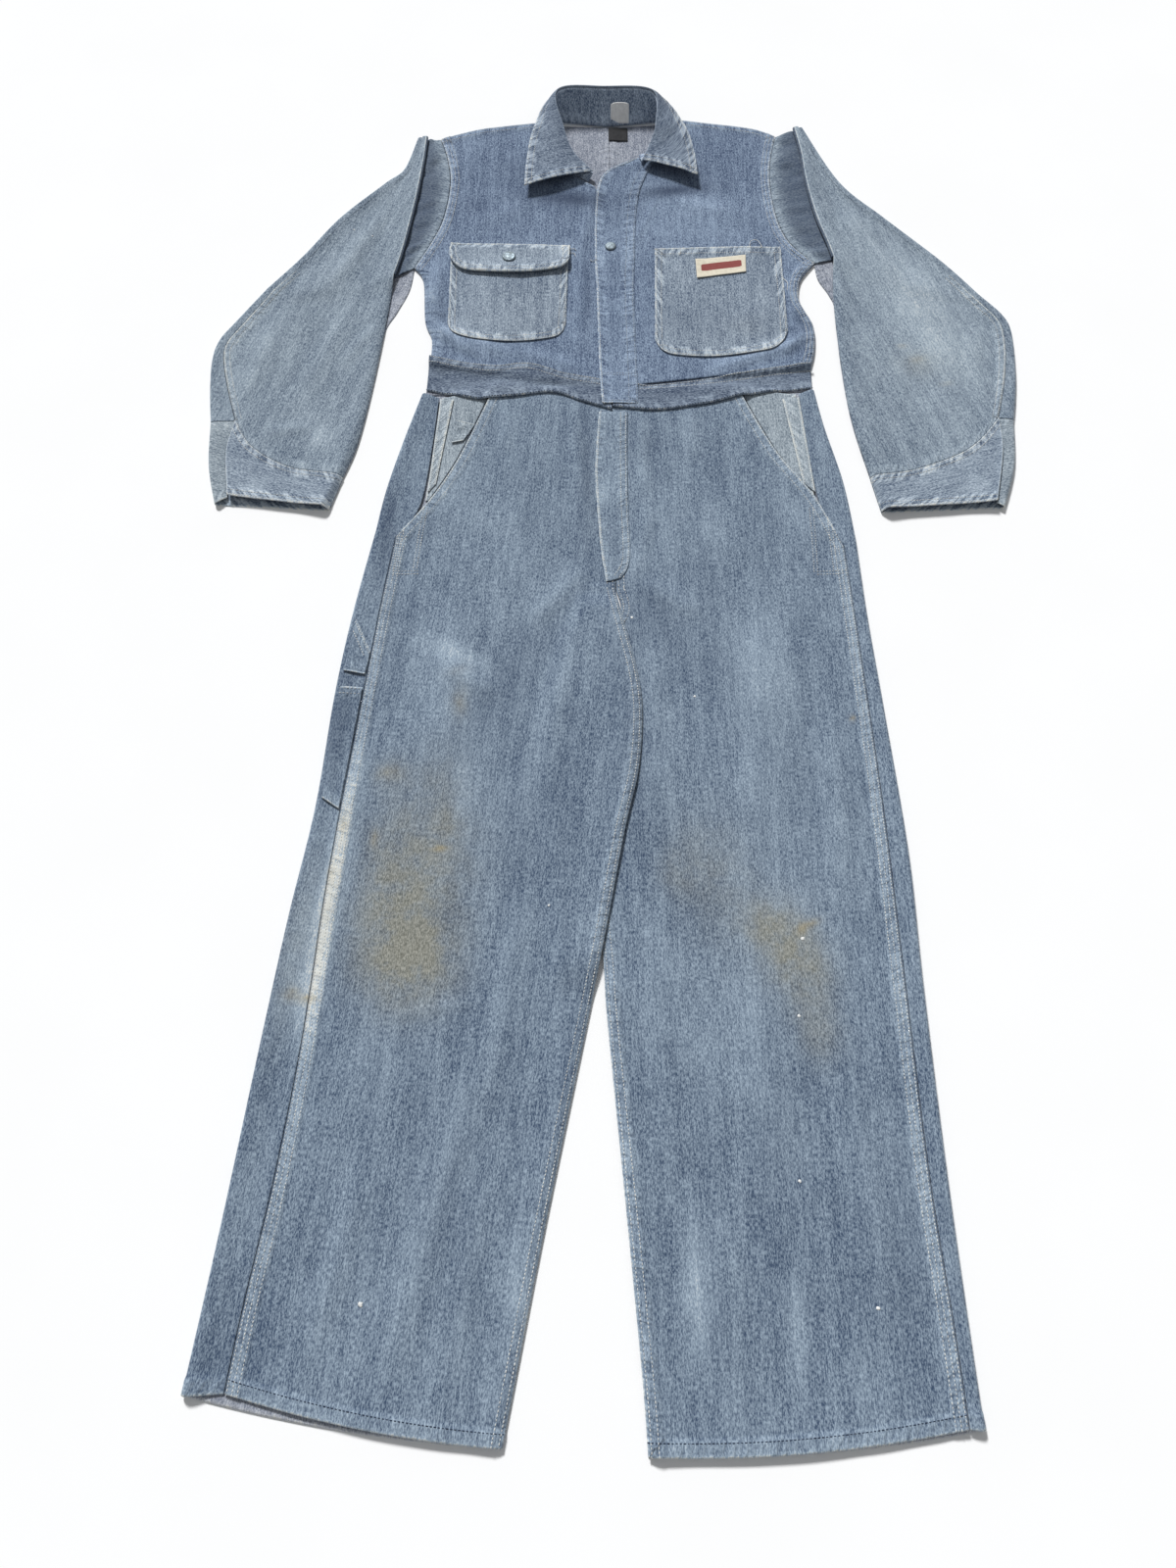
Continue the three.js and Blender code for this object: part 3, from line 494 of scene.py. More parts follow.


# %% [markdown]
# Soil, rust and a map of painted shade are masks painted on the points of each piece. The group below
# breaks soil and rust up with noise, so that they settle unevenly, and lays the painted shade on top.


# %% Stain and painted shade group
def stain_and_shade_group():
    masks = {name: "Float" for name in ("Speckle", "Soil", "Rust", "Dusk")}
    tree, given, out = group("Stains and painted shade", {"Place": "Vector", "Colour": "Color", **masks}, {"Colour": "Color"})
    blotch = cloudy(tree, given["Place"], scale=38, detail=5, roughness=0.68)
    uneven = remap(tree, blotch, 0.3, 0.62, 0.6, 1.2)
    soil = calc(tree, "MULTIPLY", given["Soil"], uneven, clamp=True)
    grainy = calc(tree, "MULTIPLY_ADD", given["Speckle"], 0.35, 0.65)
    brown = blend(tree, given["Speckle"], (0.15, 0.152, 0.12, 1), (0.36, 0.35, 0.29, 1))
    soiled = blend(tree, calc(tree, "MULTIPLY", soil, 0.82), given["Colour"], brown)
    rust = calc(tree, "MULTIPLY", calc(tree, "MULTIPLY", given["Rust"], uneven), grainy, clamp=True)
    rusty = blend(tree, rust, soiled, (0.4, 0.31, 0.13, 1))
    # Painted shade: the dusk mask darkens the cloth towards a deep blue where folds and the collar keep it in
    # shade.
    dark = blend(tree, given["Dusk"], rusty, (0.024, 0.042, 0.085, 1))
    tree.links.new(dark, out["Colour"])
    return tree


STAINS_AND_SHADE = stain_and_shade_group()
print("stain group:", len(STAINS_AND_SHADE.nodes), "nodes")


# %% Denim materials
def blank_material(name):
    material = bpy.data.materials.new(name)
    material.use_nodes = True
    return material, material.node_tree, material.node_tree.nodes["Principled BSDF"]


def roughen(tree, shader, height, strength, distance):
    bump = node(tree, "ShaderNodeBump", {"Height": height, "Strength": strength, "Distance": distance})
    tree.links.new(bump.outputs["Normal"], shader.inputs["Normal"])


def mask(tree, name):
    return node(tree, "ShaderNodeAttribute", attribute_name=name, attribute_type="GEOMETRY").outputs["Fac"]


GRAIN = 0.64  # how much each cause changes the lightness of the cloth
STREAKS = 0.3
PATCHES = 0.42


def denim(name, dark, light, level=0.42, dash_pitch=6.5, dash=0.3, strip=0.1, width=12.0):
    """A denim finish between a dark and a light colour. level is how light it is overall."""
    material, tree, shader = blank_material(name)
    grain = node(tree, "ShaderNodeUVMap", uv_map="grain").outputs[0]
    place = node(tree, "ShaderNodeTexCoord").outputs["Object"]
    weave = use(tree, WEAVE, {"Grain": grain})
    distance, along = mask(tree, "edge"), mask(tree, "run")
    seam = use(tree, DASHES, {"Edge": distance, "Run": along, "Width": width, "Pitch": dash_pitch})
    fade = cloudy(tree, place, scale=9, detail=4, roughness=0.6)
    lightness = calc(tree, "MULTIPLY_ADD", weave["Speckle"], GRAIN, level - (GRAIN + STREAKS + PATCHES) / 2)
    lightness = calc(tree, "MULTIPLY_ADD", weave["Streak"], STREAKS, lightness)
    lightness = calc(tree, "MULTIPLY_ADD", fade, PATCHES, lightness)
    swing = calc(tree, "MULTIPLY", calc(tree, "SUBTRACT", seam["Dash"], 0.42), dash)
    lift = calc(tree, "MULTIPLY", calc(tree, "ADD", swing, strip), seam["Band"])
    lightness = calc(tree, "ADD", lightness, lift)
    # The bleach map also carries painted fold light and shade, set in marks.
    lightness = calc(tree, "MULTIPLY_ADD", mask(tree, "bleach_and_fold_shading"), 0.62, lightness)
    lightness = calc(tree, "MULTIPLY_ADD", mask(tree, "worn"), 0.6, lightness)
    lightness = calc(tree, "MAXIMUM", lightness, 0.0)
    colour = blend(tree, calc(tree, "MINIMUM", lightness, 1.0), dark, light)
    bared = remap(tree, lightness, 0.85, 1.5, 0.0, 0.8)
    colour = blend(tree, bared, colour, (0.74, 0.73, 0.66, 1))
    # Soil and rust are stains; dusk is painted shade.
    stain_and_shade_masks = {"Soil": mask(tree, "soil"), "Rust": mask(tree, "rust"), "Dusk": mask(tree, "dusk")}
    stained_and_shaded = use(tree, STAINS_AND_SHADE, {"Place": place, "Colour": colour, "Speckle": weave["Speckle"], **stain_and_shade_masks})
    tree.links.new(stained_and_shaded["Colour"], shader.inputs["Base Color"])
    tree.links.new(remap(tree, weave["Speckle"], 0, 1, 0.96, 0.8), shader.inputs["Roughness"])
    shader.inputs["Sheen Weight"].default_value = 0.12
    shader.inputs["Specular IOR Level"].default_value = 0.2
    height = calc(tree, "MULTIPLY_ADD", weave["Twill"], 0.1, calc(tree, "MULTIPLY", weave["Speckle"], 0.16))
    height = calc(tree, "MULTIPLY_ADD", weave["Streak"], 0.1, height)
    puckers = calc(tree, "MULTIPLY", seam["Dash"], seam["Band"])
    height = calc(tree, "ADD", height, puckers)
    roughen(tree, shader, height, 0.75, 0.0007)
    return material


LEG_DENIM = denim("leg_denim", (0.042, 0.07, 0.125, 1), (0.37, 0.46, 0.55, 1), dash=0.14, strip=0.13)
BODICE_DENIM = denim("bodice_denim", (0.036, 0.062, 0.125, 1), (0.36, 0.46, 0.6, 1), level=0.39, dash=0.24)
SLEEVE_DENIM = denim("sleeve_denim", (0.05, 0.08, 0.13, 1), (0.42, 0.5, 0.57, 1), level=0.44, dash=0.16)
POCKET_DENIM = denim("pocket_denim", (0.055, 0.085, 0.14, 1), (0.46, 0.54, 0.62, 1), level=0.42, dash=0.6)
EDGE_DENIM = denim("edge_denim", (0.06, 0.09, 0.13, 1), (0.48, 0.55, 0.6, 1), level=0.46, dash=0.25)
BAND_DENIM = denim(
    "band_denim", (0.03, 0.05, 0.095, 1), (0.32, 0.39, 0.48, 1), level=0.36, dash=0.34, width=9.0
)
COLLAR_DENIM = denim("collar_denim", (0.035, 0.06, 0.11, 1), (0.42, 0.5, 0.6, 1), level=0.37, dash=0.62)
# Painted light: the stand is given much lighter colours than the collar, so that its face, which the sun
# leaves in shade, renders lighter.
PAINTED_LIGHT_STAND_DENIM = denim("painted_light_stand_denim", (0.08, 0.12, 0.2, 1), (0.7, 0.82, 0.97, 1), level=0.4, dash=0.3)
WRONG_SIDE = denim(
    "wrong_side", (0.1, 0.12, 0.17, 1), (0.55, 0.58, 0.64, 1), level=0.41, dash=0.1, strip=0.06
)
print("denim materials:", [m.name for m in bpy.data.materials if m.name.endswith("denim")])

# %% [markdown]
# ## Where it is worn and stained
# Each map below is a list of soft spots in plan: place, half width and half length, turn and strength.
# The knees are soiled brown, the right outer seam is bleached almost white, and a few places are
# spotted with rust. The last map is shade, painted where folds and the collar keep the cloth dark. It
# stays where it is when the light changes.

# %% Maps of wear, stains and painted shade
BLEACHED = [
    ((-254, 385), (9, 95), -7, 0.95),
    ((-262, 290), (9, 55), -8, 0.9),
    ((-277, 335), (12, 70), -8, 0.4),
    ((190, 335), (60, 70), 0, 0.26),
    ((110, 1150), (110, 120), 0, 0.1),
    ((150, 1300), (90, 50), 0, 0.2),
    ((405, 1160), (50, 130), 22, 0.34),
    ((450, 980), (60, 90), 0, 0.1),
    ((-100, 1234), (80, 24), 0, 0.26),
    ((-415, 885), (60, 22), 0, 0.22),
    ((-9, 1283), (1.6, 26), 25, 0.2),
    ((76, 1288), (1.6, 34), -18, 0.2),
    ((-240, 430), (9, 60), -6, 0.22),
    ((-236, 525), (7, 50), -6, 0.2),
    ((-168, 930), (14, 60), 12, 0.14),
    ((240, 930), (12, 60), -10, 0.12),
    ((92, 15), (11, 52), 2, 0.58),
    ((178, -5), (9, 45), 0, 0.58),
    ((-59, 15), (13, 42), 4, 0.55),
    ((-74, -60), (26, 40), 0, 0.2),
    ((-311, 945), (12, 20), 20, 0.3),
    ((-330, 965), (30, 40), 20, 0.2),
    ((19, 868), (7, 26), 0, 0.5),
    ((24, 960), (12, 40), 0, 0.2),
    ((-105, 850), (60, 90), 0, 0.14),
    ((120, 800), (60, 110), 0, 0.1),
    ((-150, 655), (55, 14), -25, 0.3),
    ((-128, 645), (24, 7), -30, 0.3),
    ((-45, 700), (30, 30), 0, 0.16),
    ((236, 840), (14, 40), 20, 0.25),
    ((-150, 880), (12, 60), -28, 0.2),
    ((50, 770), (24, 20), 0, 0.25),
    ((-34, 1252), (14, 10), 0, 0.45),
    ((-100, 1130), (66, 18), 0, 0.12),
    ((-417, 1000), (22, 50), 0, 0.15),
    ((470, 1040), (30, 60), 0, 0.12),
    ((-385, 870), (14, 12), 0, 0.45),
    ((448, 872), (14, 12), 0, 0.4),
    ((130, 220), (30, 120), 0, 0.08),
    ((-236, 610), (5, 110), -4, 0.12),
    ((288, 700), (7, 100), 0, 0.2),
]
SOILED = [
    ((-178, 336), (44, 52), 0, 0.95),
    ((-168, 300), (38, 36), 0, 0.5),
    ((-165, 425), (44, 62), 10, 0.62),
    ((-205, 395), (22, 44), 0, 0.3),
    ((-150, 505), (24, 36), 0, 0.22),
    ((-203, 508), (18, 18), 0, 0.35),
    ((-140, 455), (14, 16), 0, 0.3),
    ((-136, 590), (10, 24), 0, 0.3),
    ((188, 335), (27, 30), 0, 0.75),
    ((206, 300), (26, 32), 0, 0.72),
    ((168, 350), (20, 20), 0, 0.35),
    ((216, 245), (20, 30), 0, 0.4),
    ((112, 412), (34, 50), 0, 0.22),
    ((88, 402), (16, 22), 0, 0.24),
    ((-282, 330), (18, 90), -8, 0.2),
    ((140, 372), (40, 60), 0, 0.16),
    ((401, 1060), (26, 20), 0, 0.25),
    ((196, 1120), (20, 14), 0, 0.1),
]
RUSTED = [
    ((-172, 322), (24, 24), 0, 0.05),
    ((-134, 590), (6, 16), 0, 0.22),
    ((-138, 628), (12, 6), 20, 0.12),
    ((-266, 274), (9, 3.5), 0, 0.7),
    ((-280, 279), (8, 6), 0, 0.4),
    ((-246, 452), (4, 12), 0, 0.35),
    ((-254, 400), (3.5, 10), 0, 0.3),
    ((216, 348), (10, 3.5), 20, 0.4),
    ((207, 342), (4, 6), 0, 0.4),
    ((278, 573), (3, 3), 0, 0.8),
    ((-148, 426), (7, 3), 0, 0.6),
    ((401, 1066), (10, 5), 10, 0.22),
    ((433, 1028), (8, 3), 10, 0.2),
    ((386, 1088), (6, 3), 0, 0.3),
    ((-203, 508), (10, 8), 0, 0.25),
    ((-214, 437), (4, 9), 0, 0.3),
]
# Painted shade: soft dark spots in the folds and under the collar.
DUSKY = [
    ((-2, 880), (9, 90), 0, 0.42),
    ((-262, 555), (14, 60), -5, 0.4),
    ((48, 560), (13, 110), 0, 0.3),
    ((-60, 470), (40, 90), 0, 0.14),
    ((60, 940), (26, 40), 0, 0.16),
    ((-192, 1150), (10, 50), 8, 0.3),
    ((0, 1180), (8, 90), 0, 0.3),
    ((20, 1330), (60, 30), 0, 0.16),
    ((-48, 1350), (46, 13), 6, 0.6),
    ((-8, 1342), (30, 12), 0, 0.55),
    ((112, 1360), (48, 11), 8, 0.8),
    ((-60, 1400), (60, 30), 0, 0.3),
    ((100, 1390), (70, 24), 0, 0.3),
    ((28, 1489), (84, 8), 0, 0.4),
    ((-300, 300), (8, 420), -6, 0.2),
    ((-228, 820), (12, 190), 5, 0.3),
    ((60, 690), (30, 40), -30, 0.16),
    ((120, 1130), (120, 20), 0, 0.1),
    ((-110, 1085), (90, 12), 0, 0.16),
    ((-300, -30), (26, 40), 0, 0.12),
    ((270, 60), (26, 90), 0, 0.14),
    ((-70, 640), (22, 90), -38, 0.16),
    ((-120, 560), (26, 80), -30, 0.12),
    ((150, 640), (26, 110), 12, 0.14),
    ((215, 520), (20, 120), 4, 0.1),
    ((-60, 860), (20, 90), 4, 0.1),
    ((80, 700), (16, 80), 30, 0.14),
    ((-120, 80), (30, 110), 6, 0.12),
    ((170, 150), (24, 90), -6, 0.12),
    ((110, -10), (18, 70), 0, 0.1),
    ((-200, 1030), (14, 30), 0, 0.2),
    ((262, 1120), (12, 50), 0, 0.3),
    ((-150, 1330), (40, 16), -20, 0.14),
    ((190, 1300), (50, 20), 20, 0.12),
    ((-370, 1150), (20, 70), -30, 0.12),
    ((420, 1160), (20, 70), 30, 0.12),
]


def wear_and_shade_map(x, y, spots):
    total = np.zeros_like(x)
    for at, size, turn, strength in spots:
        total = total + strength * spot(x, y, at, size, turn)
    return total


# The count takes in the spots of painted shade.
print(len(BLEACHED) + len(SOILED) + len(RUSTED) + len(DUSKY), "worn or stained places")


# %% [markdown]
# ## From a sheet of points to a piece of cloth
# `shell` gives a sheet its thickness, rounds its rim, writes the marks that the finish reads, and hides
# the imported piece that it stands for. One material faces up and one down, because denim is blue
# outside and grey inside.

# %% Closed cloth
FAR = 60.0  # a distance beyond the reach of any seam
# Ridges are made paler and hollows darker by height: partly wear on the crests, partly painted fold light and
# shade.
FOLD_WEAR_AND_SHADE = 0.075  # how much paler each mm of height makes a ridge
RIM_INSET = 0.3  # how far the two faces stop short of the rim, as a share of the outer cells
FINISHED = {}


def marks(lay, sewn=(), free=(), bleach_and_fold_shading=0.0, stained_and_shaded=True):
    """What the finish reads at each point. sewn and free are lists of (distance, run) and of distances."""
    edge = np.full(lay.x.shape, FAR)
    run = np.zeros(lay.x.shape)
    for distance, along in sewn:
        closer = distance < edge
        edge = np.where(closer, distance, edge)
        run = np.where(closer, along, run)
    worn = sum((np.exp(-((distance / 1.5) ** 2)) for distance in free), np.zeros(lay.x.shape))
    # Painted fold light and shade, partly wear: higher cloth is made paler and the hollows between folds
    # darker.
    rubbed = FOLD_WEAR_AND_SHADE * (lying(lay.x, lay.y) - FRONT_Z - 1.9) if stained_and_shaded else 0.0
    bleach_and_fold_shading = bleach_and_fold_shading + rubbed + wear_and_shade_map(lay.x, lay.y, BLEACHED)
    found = {"edge": edge, "run": run, "worn": worn, "bleach_and_fold_shading": bleach_and_fold_shading}
    if stained_and_shaded:
        maps = {"soil": SOILED, "rust": RUSTED, "dusk": DUSKY}
        found |= {name: wear_and_shade_map(lay.x, lay.y, spots) for name, spots in maps.items()}
    return found


def normals_of(grid):
    across = np.gradient(grid, axis=1)
    along = np.gradient(grid, axis=0)
    normal = np.cross(across, along)
    normal /= np.maximum(np.linalg.norm(normal, axis=2, keepdims=True), 1e-9)
    return normal * (1 if normal[..., 2].sum() > 0 else -1), normal[..., 2].sum() < 0


def ring_of(rows, columns):
    """Numbers of the border points, round the grid."""
    at = np.arange(rows * columns).reshape(rows, columns)
    return np.concatenate([at[0, :-1], at[:-1, -1], at[-1, :0:-1], at[:0:-1, 0]])


def closed(grid, thickness):
    """A closed body round a sheet of points in mm.

    Gives its points, its faces, which of them face down, and the numbers of its border points.
    """
    rows, columns = grid.shape[:2]
    normal, reverse = normals_of(grid)
    half = np.broadcast_to(np.asarray(thickness, float), grid.shape[:2])[..., None] / 2
    inner = grid.copy()
    for edge, beside_it in ((0, 1), (-1, -2)):
        inner[edge] = inner[edge] * (1 - RIM_INSET) + inner[beside_it] * RIM_INSET
    for edge, beside_it in ((0, 1), (-1, -2)):
        inner[:, edge] = inner[:, edge] * (1 - RIM_INSET) + inner[:, beside_it] * RIM_INSET
    ring = ring_of(rows, columns)
    count = rows * columns
    upper, lower = inner + normal * half, inner - normal * half
    points = np.vstack([upper.reshape(-1, 3), lower.reshape(-1, 3), grid.reshape(-1, 3)[ring]])
    at = np.arange(count).reshape(rows, columns)
    quads = np.stack([at[:-1, :-1], at[:-1, 1:], at[1:, 1:], at[1:, :-1]], axis=-1).reshape(-1, 4)
    following = np.roll(ring, -1)
    rim = np.arange(len(ring)) + 2 * count
    rim_next = np.roll(rim, -1)
    upper_rim = np.stack([rim, rim_next, following, ring], axis=-1)
    lower_rim = np.stack([ring + count, following + count, rim_next, rim], axis=-1)
    faces = np.vstack([quads, upper_rim, quads[:, ::-1] + count, lower_rim])
    down = np.arange(len(faces)) >= len(quads) + len(upper_rim)
    return points, faces[:, ::-1] if reverse else faces, down, ring


def spread(values, ring):
    """A value for each point of the closed body, from one for each point of the sheet."""
    flat = values.reshape(values.shape[0] * values.shape[1], -1)
    return np.vstack([flat, flat, flat[ring]])


def mesh_of(name, points, faces, materials, down):
    mesh = bpy.data.meshes.new(name)
    mesh.from_pydata(placed(points), [], faces.tolist())
    mesh.shade_smooth()
    for material in materials:
        mesh.materials.append(material)
    mesh.polygons.foreach_set("material_index", down.astype(np.int32))
    return mesh


def linked(name, mesh, slot, *nodes):
    """An object for a finished mesh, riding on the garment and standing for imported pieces."""
    piece = bpy.data.objects.new(name, mesh)
    bpy.context.scene.collection.objects.link(piece)
    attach(piece, "root")
    if nodes:
        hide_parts(*nodes)
    return piece


def grain_of(grid, turn):
    """The warp of a sheet cut at an angle: metres across it and along it."""
    c, s = math.cos(math.radians(turn)), math.sin(math.radians(turn))
    return np.dstack([grid[..., 0] * c + grid[..., 1] * s, grid[..., 1] * c - grid[..., 0] * s]) * MM


# %% A piece of cloth
def shell(name, grid, slot, outside, inside, seen, thickness=CLOTH, turn=0.0, warp=None, rests_on=(), more=()):
    """A closed piece of cloth, from a sheet of points and more sheets sewn to it."""
    warp = grain_of(grid, turn) if warp is None else warp
    parts = [(grid, thickness, seen, warp), *more]
    bodies = [closed(sheet, depth) for sheet, depth, _, _ in parts]
    starts = np.cumsum([0] + [len(body[0]) for body in bodies])
    points = np.vstack([body[0] for body in bodies])
    faces = np.vstack([body[1] + start for body, start in zip(bodies, starts)])
    down = np.concatenate([body[2] for body in bodies])
    mesh = mesh_of(name, points, faces, (outside, inside), down)
    for mark in seen:
        values = np.vstack([spread(part[2][mark], body[3]) for part, body in zip(parts, bodies)])
        mesh.attributes.new(mark, "FLOAT", "POINT").data.foreach_set("value", values[:, 0])
    loops = np.empty(len(mesh.loops), np.int32)
    mesh.loops.foreach_get("vertex_index", loops)
    uv = np.vstack([spread(part[3], body[3]) for part, body in zip(parts, bodies)])
    mesh.uv_layers.new(name="grain").data.foreach_set("uv", uv[loops].ravel())
    piece = linked(f"{name}_cloth", mesh, slot, name)
    FINISHED[name] = BVHTree.FromPolygons([v.co for v in mesh.vertices], [p.vertices for p in mesh.polygons])


# %% [markdown]
# ## Pieces that lie on other pieces
# A pocket or a placket is stiffer than the cloth under it, so it bridges small dips and follows large
# ones. Rays cast straight down find the cloth below; the heights are widened and eased, and the patch
# is laid on them.

# %% Laying a patch
LAYER_GAP = 0.2
DOWN = Vector((0, 0, -1))
HIGH = 0.2  # where rays start, in metres


def top_of(xy, names):
    """Height in mm of the highest of some finished pieces over plan points, or -1 where there is none."""
    flat = placed(np.c_[xy.reshape(-1, 2), np.zeros(xy[..., 0].size)])
    found = np.full(len(flat), -1.0)
    for tree in (FINISHED[name] for name in names):
        for k, (x, y, _) in enumerate(flat):
            hit = tree.ray_cast(Vector((x, y, HIGH)), DOWN)[0]
            if hit and hit.z / MM > found[k]:
                found[k] = hit.z / MM
    return found.reshape(xy.shape[:-1])


def neighbours(z):
    wide = np.pad(z, 1, mode="edge")
    return wide[:-2, 1:-1], wide[2:, 1:-1], wide[1:-1, :-2], wide[1:-1, 2:]


def eased(z, widen=2, rounds=4):
    """Heights of a stiffer cloth over z: widened over the high places, then smoothed."""
    for _ in range(widen):
        z = np.maximum.reduce([z, *neighbours(z)])
    for _ in range(rounds):
        z = (z + sum(neighbours(z))) / 5
    return z


def patch(lay, below, thickness=CLOTH, relief=0.0, widen=2, rounds=4):
    """The points of a piece that lies on others."""
    top = top_of(lay.xy, below)
    top = np.where(top < 0, top[top >= 0].min(), top)
    return on(lay, eased(top, widen, rounds) + LAYER_GAP + thickness / 2 + relief)


print("rays start", HIGH, "m up")

# %% [markdown]
# ## Bodice
# The back lies on the ground with its wrong side up: it shows only inside the neck. The fronts lie on
# it, pressed flat at the sides and the armholes, where felled strips run.

# %% Outlines of the bodice
EDGES = {
    "right": {
        "side": [[-193, 1060], [-193, 1100], [-203, 1131], [-209, 1198], [-222, 1222]],
        "armhole": [[-222, 1222], [-203, 1266], [-189, 1311], [-183, 1375], [-189, 1423], [-200, 1462]],
        "shoulder": [[-200, 1462], [-145, 1481], [-56, 1496]],
        "front_neck": [[-56, 1496], [-53, 1450], [-32, 1405], [8, 1368]],
        "back_neck": [[-56, 1496], [-35, 1492], [CENTRE_X - SEAM_GAP / 2, 1489]],
        "front_edge": [[CENTRE_X - 3, 1320], [8, 1368]],
    },
    "left": {
        "side": [[272, 1056], [279, 1085], [280, 1123], [266, 1164], [270, 1200], [290, 1230]],
        "armhole": [[290, 1230], [261, 1266], [247, 1311], [242, 1375], [246, 1423], [255, 1467]],
        "shoulder": [[255, 1467], [215, 1485], [114, 1500]],
        "front_neck": [[114, 1500], [112, 1455], [96, 1428], [66, 1420]],
        "back_neck": [[114, 1500], [93, 1494], [CENTRE_X + SEAM_GAP / 2, 1489]],
        "front_edge": [[CENTRE_X + 3, 1330], [66, 1420]],
    },
}
BACK_WAIST_Y = 1058.2
FRONT_WAIST_Y = 1024
HANDS = ("right", "left")

# %% Bodice backs
for hand in HANDS:
    edge = EDGES[hand]
    centre = edge["back_neck"][2]
    lay = Lay(
        rail(edge["side"], edge["armhole"]),
        rail([[centre[0], BACK_WAIST_Y], centre]),
        shares([(90, 6), (130, 5)], [(90, 5), (16, 1.8)]),
        shares([(165, 7)], [(150, 6), (95, 3)]),
        top=rail(edge["shoulder"], edge["back_neck"]),
    )
    inner = lay.y > 1330
    strip = np.where(inner, felled(lay.right, (2, 8), 10, 0.8), 0)
    seen = marks(lay, sewn=[(lay.right, lay.up)], bleach_and_fold_shading=-0.02)
    shell(f"bodice_back_{hand}", on(lay, BACK_Z + strip), "denim", WRONG_SIDE, BODICE_DENIM, seen)

# %% Bodice fronts
for hand in HANDS:
    edge = EDGES[hand]
    centre_x = CENTRE_X + (-1 if hand == "right" else 1)
    lay = Lay(
        rail(edge["side"], edge["armhole"]),
        rail([[centre_x, FRONT_WAIST_Y], [centre_x, 1200], *edge["front_edge"]]),
        shares([(18, 1.5), (92, 3.4)], [(100, 3.4), (12, 2)]),
        shares([(165, 3.3)], [(225, 3.3), (18, 1.6)]),
        top=rail(edge["shoulder"], edge["front_neck"]),
    )
    at_armhole = step(lay.y, 1212, 1232)
    z = pressed_edge(lay.x, lay.y, lay.left, EDGE_SWELL * (1 - at_armhole))
    z += felled(lay.left) * at_armhole + felled(lay.top, (2, 8), 11, 0.8)
    if hand == "left":
        z += felled(lay.left) * (1 - at_armhole)
    sewn = [(lay.left, lay.up), (lay.top, lay.across)]
    seen = marks(lay, sewn=sewn, free=[lay.top, lay.left * 0.8 + 2 * (1 - at_armhole)])
    below = [f"bodice_back_{hand}"]
    shell(f"bodice_front_{hand}", on(lay, z), "denim", BODICE_DENIM, WRONG_SIDE, seen, rests_on=below)

# %% [markdown]
# ## Legs
# Each leg is two long pieces. The back piece is wider: it folds round the outer side and comes over the
# top to the felled seam. The front piece ends there, runs up along the slanted pocket mouth, and its
# hem is turned up by 13 mm and bows a little towards the foot.

# %% Outlines of the legs
HEM_DEPTH = 13
LEGS = {
    "right": {
        "fold": [
            [
                [-333, -60], [-318, 70], [-301, 237], [-288, 357],
                [-273, 472], [-265, 600], [-254, 702], [-237, 812],
            ],
            [[-237, 812], [-229, 870], [-214, 940], [-196, 1012]],
        ],
        "inner": [
            [
                [-70, -98], [-60, -45], [-34, 90], [11, 308], [37, 445],
                [52, 512], [57, 578], [52, 630], [36, 704], [30.4, 734],
            ],
            [[30.4, 734], [CENTRE_X - SEAM_GAP / 2, 1014.8]],
        ],
        "seam": [
            [-301, -58], [-294, 3], [-278, 115], [-266, 237],
            [-259, 357], [-250, 472], [-230, 687], [-217, 804],
        ],
        "slant": [[-217, 804], [-181, 855], [-150, 918], [-113, 1022]],
        "back_edge": [[-217, 804], [-190, 855], [-178, 1006]],
        "bow": 6,
        "grain": -6.5,
    },
    "left": {
        "fold": [
            [[322, -85], [320, -42], [316, 115], [315, 293], [316, 424], [308, 590], [302, 700], [299, 800]],
            [[299, 800], [292, 880], [277, 960], [269, 1018]],
        ],
        "inner": [
            [[49, -104], [45, -42], [31, 115], [18, 256], *HIDDEN_THIGH, [31, 734]],
            [[31, 734], [CENTRE_X + SEAM_GAP / 2, 1014.8]],
        ],
        "seam": [[312, -84], [309, -4], [303, 115], [301, 293], [299, 478], [293, 662], [288, 790]],
        "slant": [[288, 790], [260, 859], [219, 927], [180, 1022]],
        "back_edge": [[288, 790], [264, 856], [253, 1012]],
        "bow": 7,
        "grain": 1,
    },
}
LEG_LENGTH = 840
UPPER_LENGTH = 212


def bowed(left, right, bow):
    ends = left(0.0), right(0.0)

    def at(u):
        u = np.asarray(u)[:, None]
        return ends[0] * (1 - u) + ends[1] * u - np.concatenate([0 * u, 4 * bow * u * (1 - u)], axis=1)

    return at


def hem_thickness(rows):
    return np.where(rows * 2 * LEG_LENGTH <= HEM_DEPTH, DOUBLE, CLOTH)[:, None]


